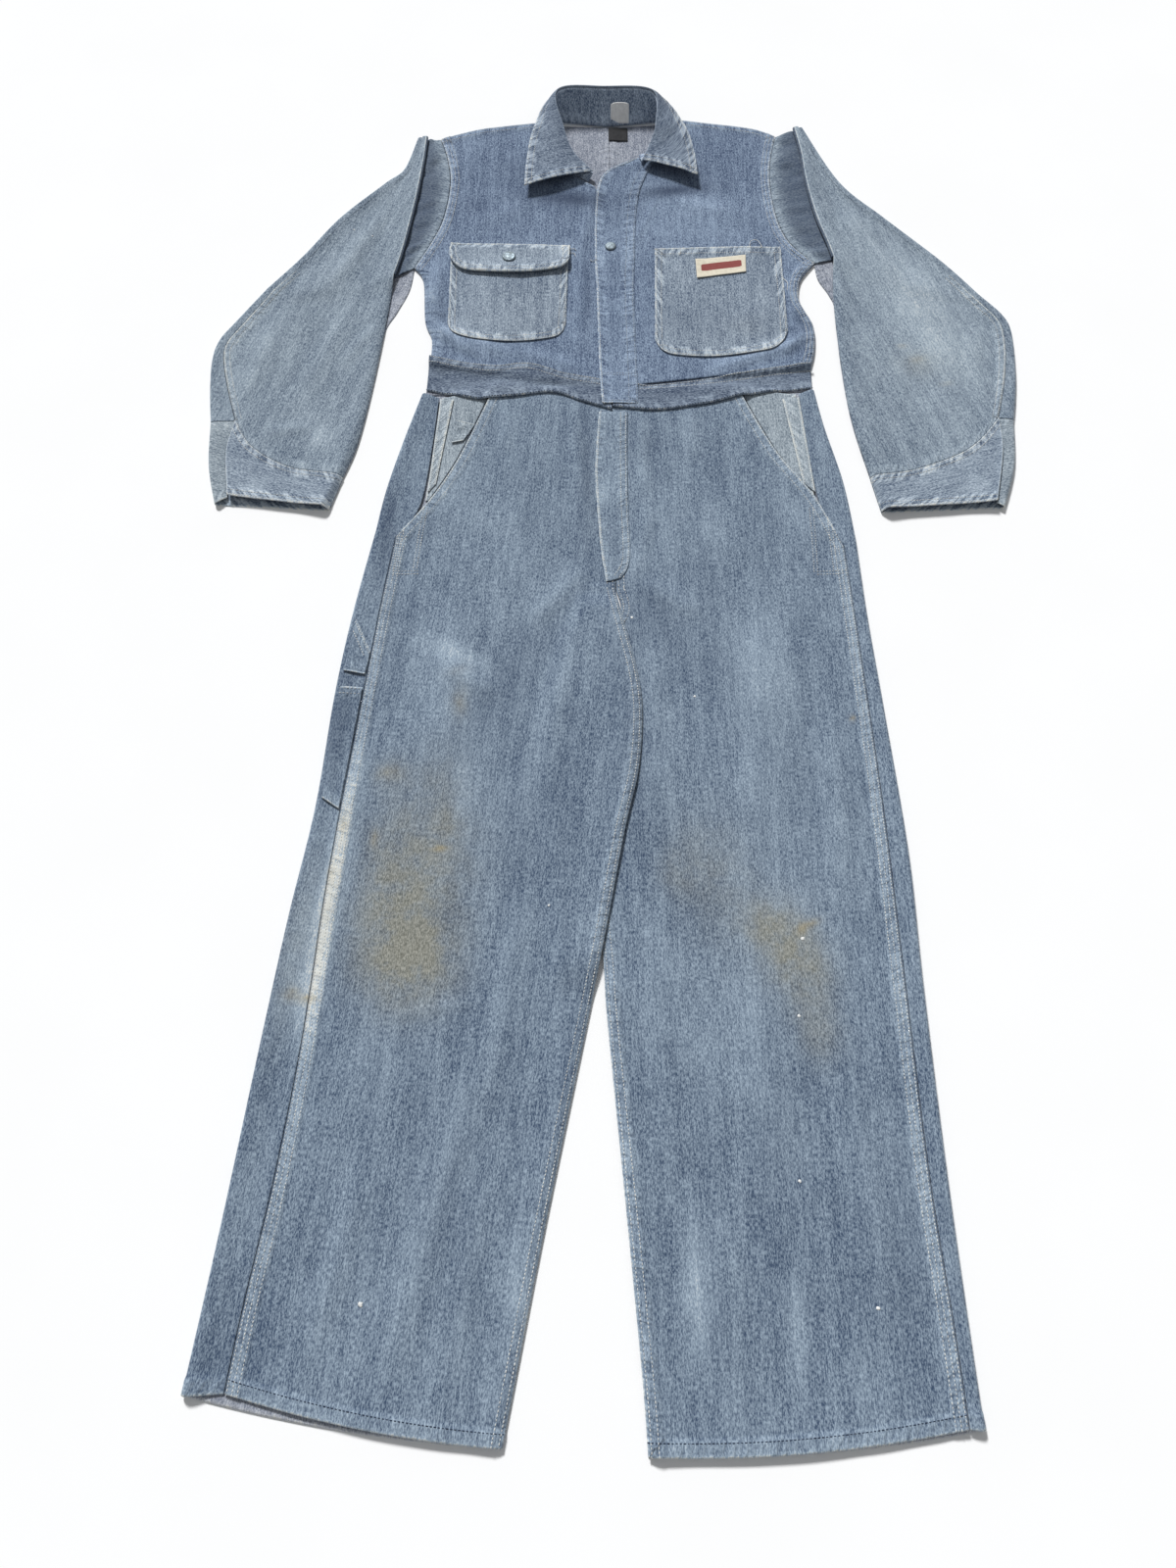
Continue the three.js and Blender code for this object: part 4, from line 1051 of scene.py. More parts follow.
def wrap_over(grid, seam, turns=8, over_step=2.5):
    """Carries a back sheet round its fold, the first column, and on over the top to the side seam."""
    start = grid[:, 0]
    along = np.gradient(start[:, :2], axis=0)
    out = np.stack([along[:, 1], -along[:, 0]], axis=1)
    out /= np.linalg.norm(out, axis=1, keepdims=True)
    inward = ((grid[:, 1, :2] - start[:, :2]) * out).sum(axis=1, keepdims=True) > 0
    out = np.where(inward, -out, out) * FOLD_RADIUS
    across = seam - start[:, :2]
    width = np.linalg.norm(across, axis=1)
    across *= ((width - 2 * SEAM_GAP) / width)[:, None]
    columns = [grid[:, k] for k in range(grid.shape[1])]
    for turn in np.pi * np.arange(1, turns + 1) / turns:
        around = start + np.c_[out * math.sin(turn), np.full(len(start), FOLD_RADIUS * (1 - math.cos(turn)))]
        columns.insert(0, around)
    count = max(2, round(width.max() / over_step))
    for share in np.arange(1, count + 1) / count:
        spot_at = start[:, :2] + across * share
        z = fold_top(spot_at[:, 0], spot_at[:, 1], width * share, start[:, 2])
        columns.insert(0, np.c_[spot_at, z])
    wrapped = np.stack(columns, axis=1)
    from_side = run_along(wrapped, 1)
    return wrapped, np.abs(from_side - from_side[:, [count + turns // 2]])


# %% Leg backs
for hand in HANDS:
    leg = LEGS[hand]
    fold, inner = rail(*leg["fold"]), rail(*leg["inner"])
    rows = shares([(15, 3), (825, 5)], [(UPPER_LENGTH, 5)])
    columns = shares([(10, 3), (250, 10), (30, 5)])
    lay = Lay(fold, inner, columns, rows, bottom=bowed(fold, inner, leg["bow"]))
    thickness = hem_thickness(rows)
    lift = thigh_lift(lay.x, lay.y) if hand == "right" else 0
    flat = on(lay, thickness / 2 + lift)
    grid, folded = wrap_over(flat, rail(leg["seam"], leg["back_edge"])(rows))
    lay = measured(grid[..., :2])
    sewn = [(lay.bottom, lay.across)]
    seen = marks(lay, sewn=sewn, free=[folded * 0.5 + 0.9, lay.bottom + 0.5])
    shell(f"leg_back_{hand}", grid, "denim", WRONG_SIDE, LEG_DENIM, seen, thickness, leg["grain"])


# %% Leg fronts
def hem_opening(lay):
    """The front hem stands a little off the back one, unevenly."""
    uneven = 0.35 + softly(lay.across / 70, lay.bottom * 0 + 3, 11)
    ends = 1 - np.exp(-np.minimum(lay.left, lay.right) / 40)
    return 2.6 * uneven * ends * np.exp(-((lay.bottom / 34) ** 2))


for hand in HANDS:
    leg = LEGS[hand]
    seam, inner = rail(leg["seam"], leg["slant"]), rail(*leg["inner"])
    rows = shares([(16, 2), (824, 3.6)], [(UPPER_LENGTH, 3)])
    columns = shares([(18, 1.5), (100, 3.8), (140, 4.4), (16, 1.6)])
    lay = Lay(seam, inner, columns, rows, bottom=bowed(seam, inner, leg["bow"]))
    gap = np.linalg.norm(rail(*leg["fold"])(rows) - seam(rows), axis=1)[:, None]
    below_mouth = 1 - step(lay.y, 796, 812)
    below_crotch = 1 - step(lay.y, 700, 735)
    swell = EDGE_SWELL if hand == "right" else EDGE_SWELL * (1 - step(lay.y, 280, 310))
    free_lying = lying(lay.x, lay.y)
    z = np.where(lay.y < 740, pressed_edge(lay.x, lay.y, lay.right, swell), free_lying)
    z = z + fold_top(lay.x, lay.y, gap + lay.left) - free_lying
    z = z + 1.9 * (1 - below_mouth) * np.exp(-((lay.left / 26) ** 2))
    if hand == "right":
        z = z + thigh_lift(lay.x + LIFT_LEAD, lay.y)
    thickness = hem_thickness(rows)
    in_hem = thickness > CLOTH
    z = np.where(in_hem, np.maximum(z, DOUBLE + SEAM_GAP + DOUBLE / 2), z) + hem_opening(lay)
    z = z + felled(lay.left) * below_mouth + turned(lay.left, (1.8, 9.5), 12) * (1 - below_mouth)
    shown = below_crotch * (step(lay.y, 290, 330) if hand == "right" else 1)
    z = z + felled(lay.right, (3, 9), 12, 0.8) * shown
    sewn = [(lay.left, lay.up), (lay.right + 14 * (1 - shown), lay.up), (lay.bottom, lay.across)]
    free = [lay.left + FAR * below_mouth, lay.right * 1.2 + 0.6 + FAR * (1 - below_crotch), lay.bottom]
    seen = marks(lay, sewn=sewn, free=free)
    bared = 0.1 + 0.42 * spot(lay.x * 0, lay.y, (0, 340), (1, 130)) * (hand == "right")
    seen["bleach_and_fold_shading"] = seen["bleach_and_fold_shading"] + bared * (lay.left < STRIP_WIDTH) * below_mouth
    # Painted shadow: a thin dark line along the outer seam edge, below the pocket mouth.
    seen["dusk"] = seen["dusk"] + 0.5 * np.exp(-((lay.left / 1.0) ** 2)) * below_mouth
    shell(f"leg_front_{hand}", on(lay, z), "denim", LEG_DENIM, WRONG_SIDE, seen, thickness, leg["grain"])

# %% [markdown]
# ## Pockets and openings at the hips
# Beside each slanted pocket mouth a facing shows, and over it the hemmed side opening. A small watch
# pocket is set into the right mouth, and a narrow tool pocket on the back of the right leg comes just
# round the fold.

# %% Facings and side openings
for hand in HANDS:
    leg = LEGS[hand]
    inward = 1 if hand == "right" else -1
    outer = [[x + 3 * inward, y] for x, y in leg["back_edge"][1:]]
    inner = [[x - 3 * inward, y] for x, y in leg["slant"][1:]]
    lay = Lay(rail(outer), rail(inner), shares([(60, 3)]), shares([(165, 3)]))
    fold_x, fold_y = np.array(leg["fold"][1]).T
    in_from_fold = np.abs(lay.x - np.interp(lay.y, fold_y, fold_x))
    under_mouth = 1.6 * np.exp(-((lay.right / 30) ** 2))
    z = fold_top(lay.x, lay.y, in_from_fold) - under_mouth
    seen = marks(lay, sewn=[(lay.left + 2, lay.up)], free=[lay.left], bleach_and_fold_shading=0.12)
    below = [f"leg_back_{hand}"]
    name = f"pocket_facing_{hand}"
    shell(name, on(lay, z), "pale_denim", EDGE_DENIM, WRONG_SIDE, seen, rests_on=below)

STRIPS = {
    "right": ([[-185, 866], [-177, 1003]], [[-176, 878], [-161, 1003]]),
    "left": ([[262, 866], [253, 1006]], [[249, 880], [233, 1003]]),
}
for hand, (outer, inner) in STRIPS.items():
    lay = Lay(rail(outer), rail(inner), shares([(14, 1.4)]), shares([(130, 2.6)]))
    below = [f"pocket_facing_{hand}", f"leg_back_{hand}", f"leg_front_{hand}"]
    relief = turned(np.minimum(lay.left, lay.right), (2,), 4, 0.4)
    seen = marks(lay, sewn=[(lay.right, lay.up)], free=[lay.left, lay.right], bleach_and_fold_shading=0.2)
    grid = patch(lay, below, relief=relief)
    shell(f"side_opening_strip_{hand}", grid, "pale_denim", EDGE_DENIM, WRONG_SIDE, seen, rests_on=below[:2])

# %% Watch pocket and tool pocket
SMALL_PIECES = {
    "watch_pocket": ([[-161, 938], [-157, 972]], [[-147, 942], [-134, 966]]),
    "tool_pocket_lower": ([[-270, 480], [-262, 609]], [[-252, 468], [-239, 609]]),
    "tool_pocket_upper": ([[-261, 628], [-252, 692]], [[-238, 625], [-234, 652]]),
}
for name, (outer, inner) in SMALL_PIECES.items():
    set_in_mouth = name == "watch_pocket"
    finish = EDGE_DENIM if set_in_mouth else LEG_DENIM
    lay = Lay(rail(outer), rail(inner), shares([(24, 1.6)]), shares([(90, 2)]))
    relief = turned(np.minimum(lay.top, lay.bottom), (2, 8), 10)
    below = ["pocket_facing_right", "side_opening_strip_right"] if set_in_mouth else ["leg_back_right"]
    seen = marks(lay, sewn=[(lay.top, lay.across), (lay.bottom, lay.across)], free=[lay.top, lay.bottom])
    slot = "pale_denim" if set_in_mouth else "denim"
    shell(name, patch(lay, below, relief=relief), slot, finish, WRONG_SIDE, seen, rests_on=below[:1])

# %% [markdown]
# ## Waistband, placket and fly
# The waistband is a double strip. Behind, it lies flat between bodice and legs; in front it covers
# their edges, with two pale rows of stitches along its top and one navy row along its foot. The
# placket runs down over it to a stitched box, and the fly goes on below.

# %% Waistband
BAND_TOP = {
    "right": [[-194, 1070], [-120, 1056], [-72, 1060], [-30, 1045], [CENTRE_X - SEAM_GAP, 1032]],
    "left": [[CENTRE_X + SEAM_GAP, 1036], [71, 1028], [143, 1038], [215, 1051], [272, 1059]],
}
BAND_FOOT = {
    "right": [[-195, 1020], [-124, 1004], [-47, 1014], [-10, 1002], [CENTRE_X - SEAM_GAP, 988]],
    "left": [[CENTRE_X + SEAM_GAP, 992], [82, 987], [141, 997], [201, 1012], [271, 1023]],
}
back_band = Lay(
    rail([[-196, 1012 + SEAM_GAP], [-193, 1060 - SEAM_GAP]]),
    rail([[269, 1018 + SEAM_GAP], [272, 1056 - SEAM_GAP]]),
    shares([(465, 9)]),
    shares([(45, 5)]),
)
seen = marks(back_band, sewn=[(back_band.top, back_band.across)])
shell("waistband_back", on(back_band, BACK_Z), "dark_denim", WRONG_SIDE, BAND_DENIM, seen, turn=90)

for hand in HANDS:
    top, foot = BAND_TOP[hand], BAND_FOOT[hand]
    lay = Lay(
        rail([foot[0], top[0]]),
        rail([foot[-1], top[-1]]),
        shares([(235, 2.2)]),
        shares([(10, 1.4), (26, 2.4), (12, 1.4)]),
        bottom=rail(foot),
        top=rail(top),
    )
    kinds = ("bodice_front", "leg_front", "pocket_facing", "side_opening_strip", "leg_back")
    below = [f"{kind}_{hand}" for kind in kinds]
    waves = 0.7 * (softly(lay.across / 9, lay.bottom / 30, 21) - 0.5)
    relief = turned(lay.top, (2, 9), 11, 0.4) + turned(lay.bottom, (2,), 4, 0.3) + waves
    seen = marks(lay, sewn=[(lay.top, lay.across), (lay.bottom, lay.across)], free=[lay.bottom + 1])
    grid = patch(lay, below, DOUBLE, relief, widen=3, rounds=8)
    name = f"waistband_front_{hand}"
    shell(name, grid, "dark_denim", BAND_DENIM, BAND_DENIM, seen, DOUBLE, 90, rests_on=below[:2])

# %% Placket
PLACKET_EDGE = [[17, 995], [14, 1048], [11, 1180], [9, 1235], [9, 1300], [13, 1366], [26, 1398], [64, 1422]]
PLACKET_INNER = [
    [60, 995], [60, 1048], [58, 1180], [60, 1240],
    [62, 1300], [68, 1357], [80, 1396], [92, 1425],
]
lay = Lay(
    rail(PLACKET_EDGE),
    rail(PLACKET_INNER),
    shares([(12, 1.2), (26, 2.2), (12, 1.3)]),
    shares([(430, 2.6)]),
)
below = ["bodice_front_right", "bodice_front_left", "waistband_front_right", "waistband_front_left"]
box_rows = np.minimum(np.abs(lay.y - 999), np.abs(lay.y - 1044))
relief = turned(lay.left, (2.2,), 5, 0.6) - 0.4 * np.exp(-((lay.right / 6) ** 2))
relief = relief - 0.5 * np.exp(-((box_rows / 1.4) ** 2)) - 0.35 * np.exp(-(((lay.right - 11) / 1.2) ** 2))
relief = relief + 1.1 * (softly(lay.up / 60, lay.left / 40, 31) - 0.4)
seen = marks(
    lay,
    sewn=[(lay.left, lay.up), (lay.right * 0.8, lay.up), (lay.bottom, lay.across)],
    free=[lay.left * 0.8, lay.bottom + 0.8],
)
grid = patch(lay, below, relief=relief, widen=3, rounds=8)
shell("front_placket", grid, "pale_denim", BODICE_DENIM, WRONG_SIDE, seen, rests_on=below)

# %% Fly
FLY_EDGE = [[20, 742], [14, 791], [9, 873], [9, 916], [13, 984]]
FLY_SEAM = [[37, 748], [47, 775], [46, 850], [46, 916], [47, 984]]
lay = Lay(
    rail(FLY_EDGE),
    rail(FLY_SEAM),
    shares([(8, 1.2), (22, 2.2), (6, 1.5)]),
    shares([(240, 2.8)]),
)
relief = turned(lay.left, (2.2,), 4, 0.5) - 0.4 * np.exp(-(((lay.right - 2) / 1.6) ** 2))
relief = relief + 1.4 * (softly(lay.up / 40, lay.left / 30, 33) - 0.4)
sewn = [(lay.right, lay.up), (lay.bottom, lay.across), (lay.left + 4, lay.up)]
seen = marks(lay, sewn=sewn, free=[lay.left * 0.7])
below = ["leg_front_right", "leg_front_left"]
shell("fly", patch(lay, below, relief=relief), "denim", LEG_DENIM, WRONG_SIDE, seen, rests_on=below)

# %% [markdown]
# ## Chest pockets
# Both pockets have round lower corners and edges that are turned under and stitched. The right one has
# a double flap with a metal button; the left one is open, with a plain hem and a small woven label.

# %% Chest pockets
POCKET_COLUMNS = shares([(12, 1.3), (126, 2.7), (12, 1.3)])
POCKETS = {  # the upper left corner, the round foot, the upper right corner
    "flap_pocket": (
        [-176, 1252],
        [[-174, 1124], [-166, 1106], [-138, 1096], [-95, 1095], [-48, 1101], [-33, 1110], [-28, 1126]],
        [-25, 1252],
    ),
    "flap_pocket_flap": (
        [-177, 1263],
        [[-178, 1240], [-170, 1222], [-150, 1210], [-95, 1205], [-42, 1212], [-28, 1221], [-24, 1230]],
        [-23, 1258],
    ),
    "open_pocket": (
        [86, 1252],
        [[83, 1098], [92, 1081], [112, 1073], [160, 1071], [218, 1078], [238, 1091], [247, 1112]],
        [248, 1256],
    ),
}


def pocket_lay(name, *rows):
    left_top, foot, right_top = POCKETS[name]
    sides = rail([foot[0], left_top]), rail([foot[-1], right_top])
    return Lay(*sides, POCKET_COLUMNS, shares(list(rows)), bottom=rail(foot))


def sewn_round(lay):
    return [(lay.left, lay.up), (lay.right, lay.up), (lay.bottom, lay.across)]


def pocket_relief(lay, seed, bag=2.0):
    side = np.minimum(lay.left, lay.right)
    full = (1 - np.exp(-side / 22)) * (1 - np.exp(-lay.bottom / 26))
    waves = 0.9 * (softly(lay.x / 26, lay.y / 40, seed) - 0.5)
    return turned(np.minimum(side, lay.bottom), (2.2,), 8, 0.5) + bag * full + waves


lay = pocket_lay("flap_pocket", (14, 1.5), (118, 2.7), (12, 1.6))
seen = marks(lay, sewn=sewn_round(lay), free=[lay.left, lay.right, lay.bottom])
grid = patch(lay, ["bodice_front_right"], relief=pocket_relief(lay, 41), rounds=6)
shell("flap_pocket", grid, "pale_denim", POCKET_DENIM, WRONG_SIDE, seen, rests_on=["bodice_front_right"])

lay = pocket_lay("flap_pocket_flap", (40, 1.7))
curl = 2.6 * np.exp(-((lay.bottom / 16) ** 2)) * (0.5 + softly(lay.across / 34, lay.bottom * 0, 43))
sides = np.minimum(np.minimum(lay.left, lay.right), lay.bottom)
relief = turned(sides, (3, 9), 11, 0.5) + curl - 0.5 * np.exp(-(((lay.top - 3) / 1.5) ** 2))
sewn = [*sewn_round(lay), (lay.top + 2, lay.across)]
seen = marks(lay, sewn=sewn, free=[lay.left, lay.right, lay.bottom, lay.top], bleach_and_fold_shading=0.06)
below = ["bodice_front_right", "flap_pocket"]
grid = patch(lay, below, DOUBLE, relief, rounds=5)
shell("flap_pocket_flap", grid, "pale_denim", POCKET_DENIM, POCKET_DENIM, seen, DOUBLE, rests_on=below)

lay = pocket_lay("open_pocket", (14, 1.5), (140, 2.7), (14, 1.5))
mouth = turned(lay.top, (2, 10.5), 13, 0.7)
sewn = [*sewn_round(lay), (lay.top, lay.across)]
seen = marks(lay, sewn=sewn, free=[lay.left, lay.right, lay.bottom, lay.top], bleach_and_fold_shading=-0.04)
grid = patch(lay, ["bodice_front_left"], relief=pocket_relief(lay, 47, 1.4) + mouth, rounds=6)
shell("open_pocket", grid, "pale_denim", POCKET_DENIM, WRONG_SIDE, seen, rests_on=["bodice_front_left"])

# %% [markdown]
# The label on the open pocket is a bare cream weave with one red band. Its stripes are shaded from the
# place on the label itself, and it carries no lettering.

# %% Small labels
def label_cloth(name, ground, band=None):
    material, tree, shader = blank_material(name)
    grain = node(tree, "ShaderNodeUVMap", uv_map="grain").outputs[0]
    parts = node(tree, "ShaderNodeSeparateXYZ", {"Vector": grain}).outputs
    ribs = calc(tree, "MULTIPLY_ADD", calc(tree, "SINE", calc(tree, "MULTIPLY", parts[1], 9000)), 0.5, 0.5)
    rubbed = cloudy(tree, stretched(tree, grain, (260, 260, 1)), detail=4, roughness=0.6)
    shade = calc(tree, "MULTIPLY_ADD", rubbed, 0.5, calc(tree, "MULTIPLY", ribs, 0.12))
    colour = blend(tree, remap(tree, shade, 0.1, 0.5), tuple(0.72 * c for c in ground[:3]) + (1,), ground)
    if band:
        inside = calc(tree, "MULTIPLY", calc(tree, "LESS_THAN", mask(tree, "band"), 0.5), 0.93)
        colour = blend(tree, inside, colour, band)
    tree.links.new(colour, shader.inputs["Base Color"])
    tree.links.new(remap(tree, shade, 0, 0.6, 0.92, 0.7), shader.inputs["Roughness"])
    shader.inputs["Specular IOR Level"].default_value = 0.25
    roughen(tree, shader, shade, 0.4, 0.0003)
    return material


CREAM = label_cloth("cream_label", (0.80, 0.74, 0.60, 1), band=(0.22, 0.02, 0.022, 1))
WHITE = label_cloth("white_label", (0.97, 0.97, 0.96, 1))
BLACK = label_cloth("black_label", (0.02, 0.021, 0.024, 1))

lay = Lay(
    rail([[138, 1199], [137, 1231]]),
    rail([[201, 1210], [202, 1240]]),
    shares([(64, 2)]),
    shares([(31, 2)]),
)
across, up = lay.left / lay.left.max(), lay.bottom / lay.bottom.max()
inset_share = np.maximum(np.abs(across - 0.5) / 0.8, np.abs(up - 0.5) / 0.36)
curl = 1.1 * np.exp(-((lay.left / 9) ** 2)) * (0.4 + up) + 0.6 * np.exp(-((lay.bottom / 5) ** 2))
grid = patch(lay, ["open_pocket"], 0.8, curl, widen=1, rounds=3)
banded = {"band": inset_share}
shell("pocket_label", grid, "cream_label", CREAM, CREAM, banded, 0.8, rests_on=["open_pocket"])

# %% [markdown]
# ## Sleeves
# The sleeves hang straight down, so the cloth of each sleeve head doubles back on itself under a free
# edge. That pleat, crossed by small wrinkles and darkened with painted shade, is sewn to the upper sleeve
# and made with it.
# The under sleeve folds round the outer side, as the leg backs do. The cuffs are of paler cloth, and
# their upper side stands a little open.

# %% Outlines of the sleeves
SLEEVES = {
    "right": {
        "fold": [
            [[-228, 1462], [-243, 1400], [-268, 1371], [-321, 1308], [-364, 1237], [-402, 1183]],
            [[-402, 1183], [-436, 1125], [-452, 1095], [-456, 1062], [-452, 1015], [-445, 968]],
        ],
        "strip": [4, 7, 7, 9, 26],
        "ridge": [
            [[-219, 1462], [-221, 1413], [-227, 1338], [-238, 1249], [-246, 1205]],
            [[-246, 1205], [-251, 1131], [-261, 1020], [-272, 937], [-285, 889]],
        ],
        "underarm": [
            [-222, 1222], [-226, 1185], [-239, 1148], [-253, 1110],
            [-261, 1020], [-272, 937], [-285, 889],
        ],
        "cuff_seam": [[-400, 938], [-374, 916], [-344, 901], [-309, 894]],
        "vent": [[-424, 925], [-414, 859]],
        "cuff_fold": [[-439, 905], [-425, 850]],
        "cuff_inner": [-297, 843],
        "grain": -17,
    },
    "left": {
        "fold": [
            [[290, 1482], [332, 1374], [384, 1308], [450, 1229], [491, 1170]],
            [[491, 1170], [514, 1138], [521, 1110], [517, 1050], [510, 1005], [503, 972]],
        ],
        "strip": [4, 7, 7, 8, 15],
        "ridge": [
            [[281, 1480], [287, 1432], [290, 1375], [298, 1311], [309, 1262], [314, 1236]],
            [[314, 1236], [309, 1164], [309, 1067], [314, 974], [328, 888]],
        ],
        "underarm": [
            [290, 1230], [293, 1203], [304, 1178], [310, 1150],
            [309, 1067], [314, 974], [328, 888],
        ],
        "cuff_seam": [[457, 937], [426, 916], [377, 897]],
        "vent": [[486, 925], [468, 850]],
        "cuff_fold": [[494, 905], [474, 846]],
        "cuff_inner": [336, 840],
        "grain": 17,
    },
}
PLEAT_RADIUS = 1.5
PLEAT_DEPTH = [1.5, 7, 12, 12, 12, 12, 10]
PLEAT_TOP = FRONT_Z + 4 * PLEAT_RADIUS
PLEAT_FADE = 30
CUFF_ARCH = 4.6
CUFF_CLOTH = 1.6


def beside(edge, widths, towards):
    """An edge moved towards another one by widths that change evenly along it."""

    def at(t):
        t = np.asarray(t, float)
        here = edge(t)
        way = edge(np.minimum(t + 0.01, 1)) - edge(np.maximum(t - 0.01, 0))
        side = np.stack([way[..., 1], -way[..., 0]], axis=-1)
        side /= np.linalg.norm(side, axis=-1, keepdims=True)
        side *= np.sign((side * (towards(t) - here)).sum(axis=-1, keepdims=True))
        width = np.interp(t * (len(widths) - 1), np.arange(len(widths)), widths)
        return here + side * width[..., None]

    return at


def pleat(hand, ridge_edge):
    """The doubled cloth of the sleeve head, from the armhole seam in under the sleeve and back out."""
    t = shares([(250, 3)])
    seam = rail(EDGES[hand]["armhole"])(1 - t)
    over = ridge_edge(t / 2)
    width = np.linalg.norm(over - seam, axis=1)
    out = (over - seam) / width[:, None]
    depth = np.interp(t * (len(PLEAT_DEPTH) - 1), np.arange(len(PLEAT_DEPTH)), PLEAT_DEPTH)
    columns = []

    def add(start, distance, z):
        distance, z = (np.broadcast_to(value, width.shape) for value in (distance, z))
        columns.append(np.c_[start + out * distance[:, None], z])

    y = over[:, 1]
    for share in np.linspace(0, 1, 11):
        in_from_seam = SEAM_GAP + 0.1 + share * (width + depth - SEAM_GAP - 0.1)
        wrinkles = softly(y / 12 + share * 1.3, y * 0 + share * 2.4, 61) - 0.35
        wrinkled = 4.5 * wrinkles * math.sin(math.pi * share * 0.8)
        room = np.clip((width - in_from_seam) / 6, 0, 1)
        add(seam, in_from_seam, FRONT_Z + wrinkled * room)
    for turn in np.linspace(0, 1, 6)[1:]:
        rise = PLEAT_RADIUS * (1 - math.cos(math.pi * turn))
        add(over, depth + PLEAT_RADIUS * math.sin(math.pi * turn), FRONT_Z + rise)
    add(over, 0, FRONT_Z + 2 * PLEAT_RADIUS)
    for turn in np.linspace(0, 1, 6)[1:]:
        rise = PLEAT_RADIUS * (3 - math.cos(math.pi * turn))
        add(over, -PLEAT_RADIUS * math.sin(math.pi * turn), FRONT_Z + rise)
    add(over, 1, PLEAT_TOP)
    return np.stack(columns, axis=1)


# %% Sleeves and cuffs
for hand in HANDS:
    s = SLEEVES[hand]
    fold, ridge_edge = rail(*s["fold"]), rail(*s["ridge"])
    seam = beside(fold, s["strip"], ridge_edge)
    clear = -0.4 if hand == "right" else 0.4
    armhole = [[x + clear, y] for x, y in EDGES[hand]["armhole"][::-1]]
    rows = shares([(330, 3.6)], [(250, 3.6), (14, 1.8)])
    flat = Lay(fold, rail(armhole, s["underarm"]), shares([(10, 3), (140, 9), (12, 3)]), rows)
    grid, folded = wrap_over(on(flat, BACK_Z), seam(rows))
    lay = measured(grid[..., :2])
    seen = marks(lay, sewn=[(lay.right + 1, lay.up)], free=[folded * 0.5 + 0.7], bleach_and_fold_shading=0.02)
    shell(f"sleeve_under_{hand}", grid, "denim", WRONG_SIDE, SLEEVE_DENIM, seen, turn=s["grain"])

    seam_end = seam(1.0).tolist()
    end_line = [seam_end, *s["cuff_seam"], s["ridge"][1][4]]
    lay = Lay(seam, ridge_edge, shares([(10, 1.5), (150, 3.6), (12, 1.5)]), rows, top=rail(end_line))
    share = rows[:, None]
    gap = np.linalg.norm(fold(rows) - seam(rows), axis=1)[:, None]
    outside = fold_top(lay.x, lay.y, gap + lay.left)
    over_pleat = FRONT_Z + (PLEAT_TOP - FRONT_Z) * np.exp(-((lay.right / PLEAT_FADE) ** 2))
    head = np.maximum(over_pleat, np.minimum(outside, PLEAT_TOP)) + 0.55 * (lying(lay.x, lay.y) - FRONT_Z)
    pressed = pressed_edge(lay.x, lay.y, lay.right)
    arm = np.maximum(pressed, pressed + outside - lying(lay.x, lay.y))
    z = head + (arm - head) * step(share, 0.5, 0.55)
    z = z + CUFF_ARCH * 0.5 * step(share, 0.75, 1) * np.minimum(1, lay.left * lay.right / 1200)
    strip_here = step(share, 0.42, 0.5)
    z = z + felled(lay.left, (1.6, 7), 9, 0.9) * strip_here
    sewn = [(lay.left + 14 * (1 - strip_here), lay.up), (lay.top + 2, lay.across)]
    free = [lay.right + 4 * step(share, 0.5, 0.55), lay.left + 3 * (1 - strip_here)]
    seen = marks(lay, sewn=sewn, free=[*free, np.abs(lay.left - 9) + 1.4], bleach_and_fold_shading=0.05)
    seen["worn"] = seen["worn"] + 0.16 * np.exp(-lay.right / 7) * (1 - step(share, 0.45, 0.55))
    tucked = pleat(hand, ridge_edge)
    tuck = measured(tucked[..., :2])
    tucked_marks = marks(tuck, sewn=[(tuck.left + 4, tuck.up)], bleach_and_fold_shading=-0.05)
    # Painted shade in the pleat: darker from a few mm in from the armhole seam, fully so beyond 24 mm.
    tucked_marks["dusk"] = tucked_marks["dusk"] + 0.62 * step(tuck.left, 2, 24)
    warp = grain_of(tucked, s["grain"] + 90)
    more = [(tucked, CLOTH, tucked_marks, warp)]
    name = f"sleeve_upper_{hand}"
    below = [f"sleeve_under_{hand}"]
    grid, turn = on(lay, z), s["grain"]
    shell(name, grid, "denim", SLEEVE_DENIM, WRONG_SIDE, seen, turn=turn, rests_on=below, more=more)

    cuff_line = [[x, y - SEAM_GAP - 0.1] for x, y in end_line]
    fold_end = [s["fold"][1][5][0], s["fold"][1][5][1] - SEAM_GAP - 0.1]
    vent, inner = rail([cuff_line[0], *s["vent"]]), rail([cuff_line[-1], s["cuff_inner"]])
    cuff_fold = rail([fold_end, *s["cuff_fold"]])
    rows = shares([(10, 1.4), (46, 2.8), (10, 1.3)])
    flat = Lay(cuff_fold, inner, shares([(10, 3), (130, 5), (8, 3)]), rows)
    grid, folded = wrap_over(on(flat, BACK_Z), vent(rows))
    lay = measured(grid[..., :2])
    sewn = [(lay.top, lay.across), (lay.bottom, lay.across)]
    seen = marks(lay, sewn=sewn, free=[lay.top, folded * 0.5 + 0.7], bleach_and_fold_shading=0.06)
    shell(f"cuff_under_{hand}", grid, "pale_denim", POCKET_DENIM, EDGE_DENIM, seen, turn=s["grain"] + 90)

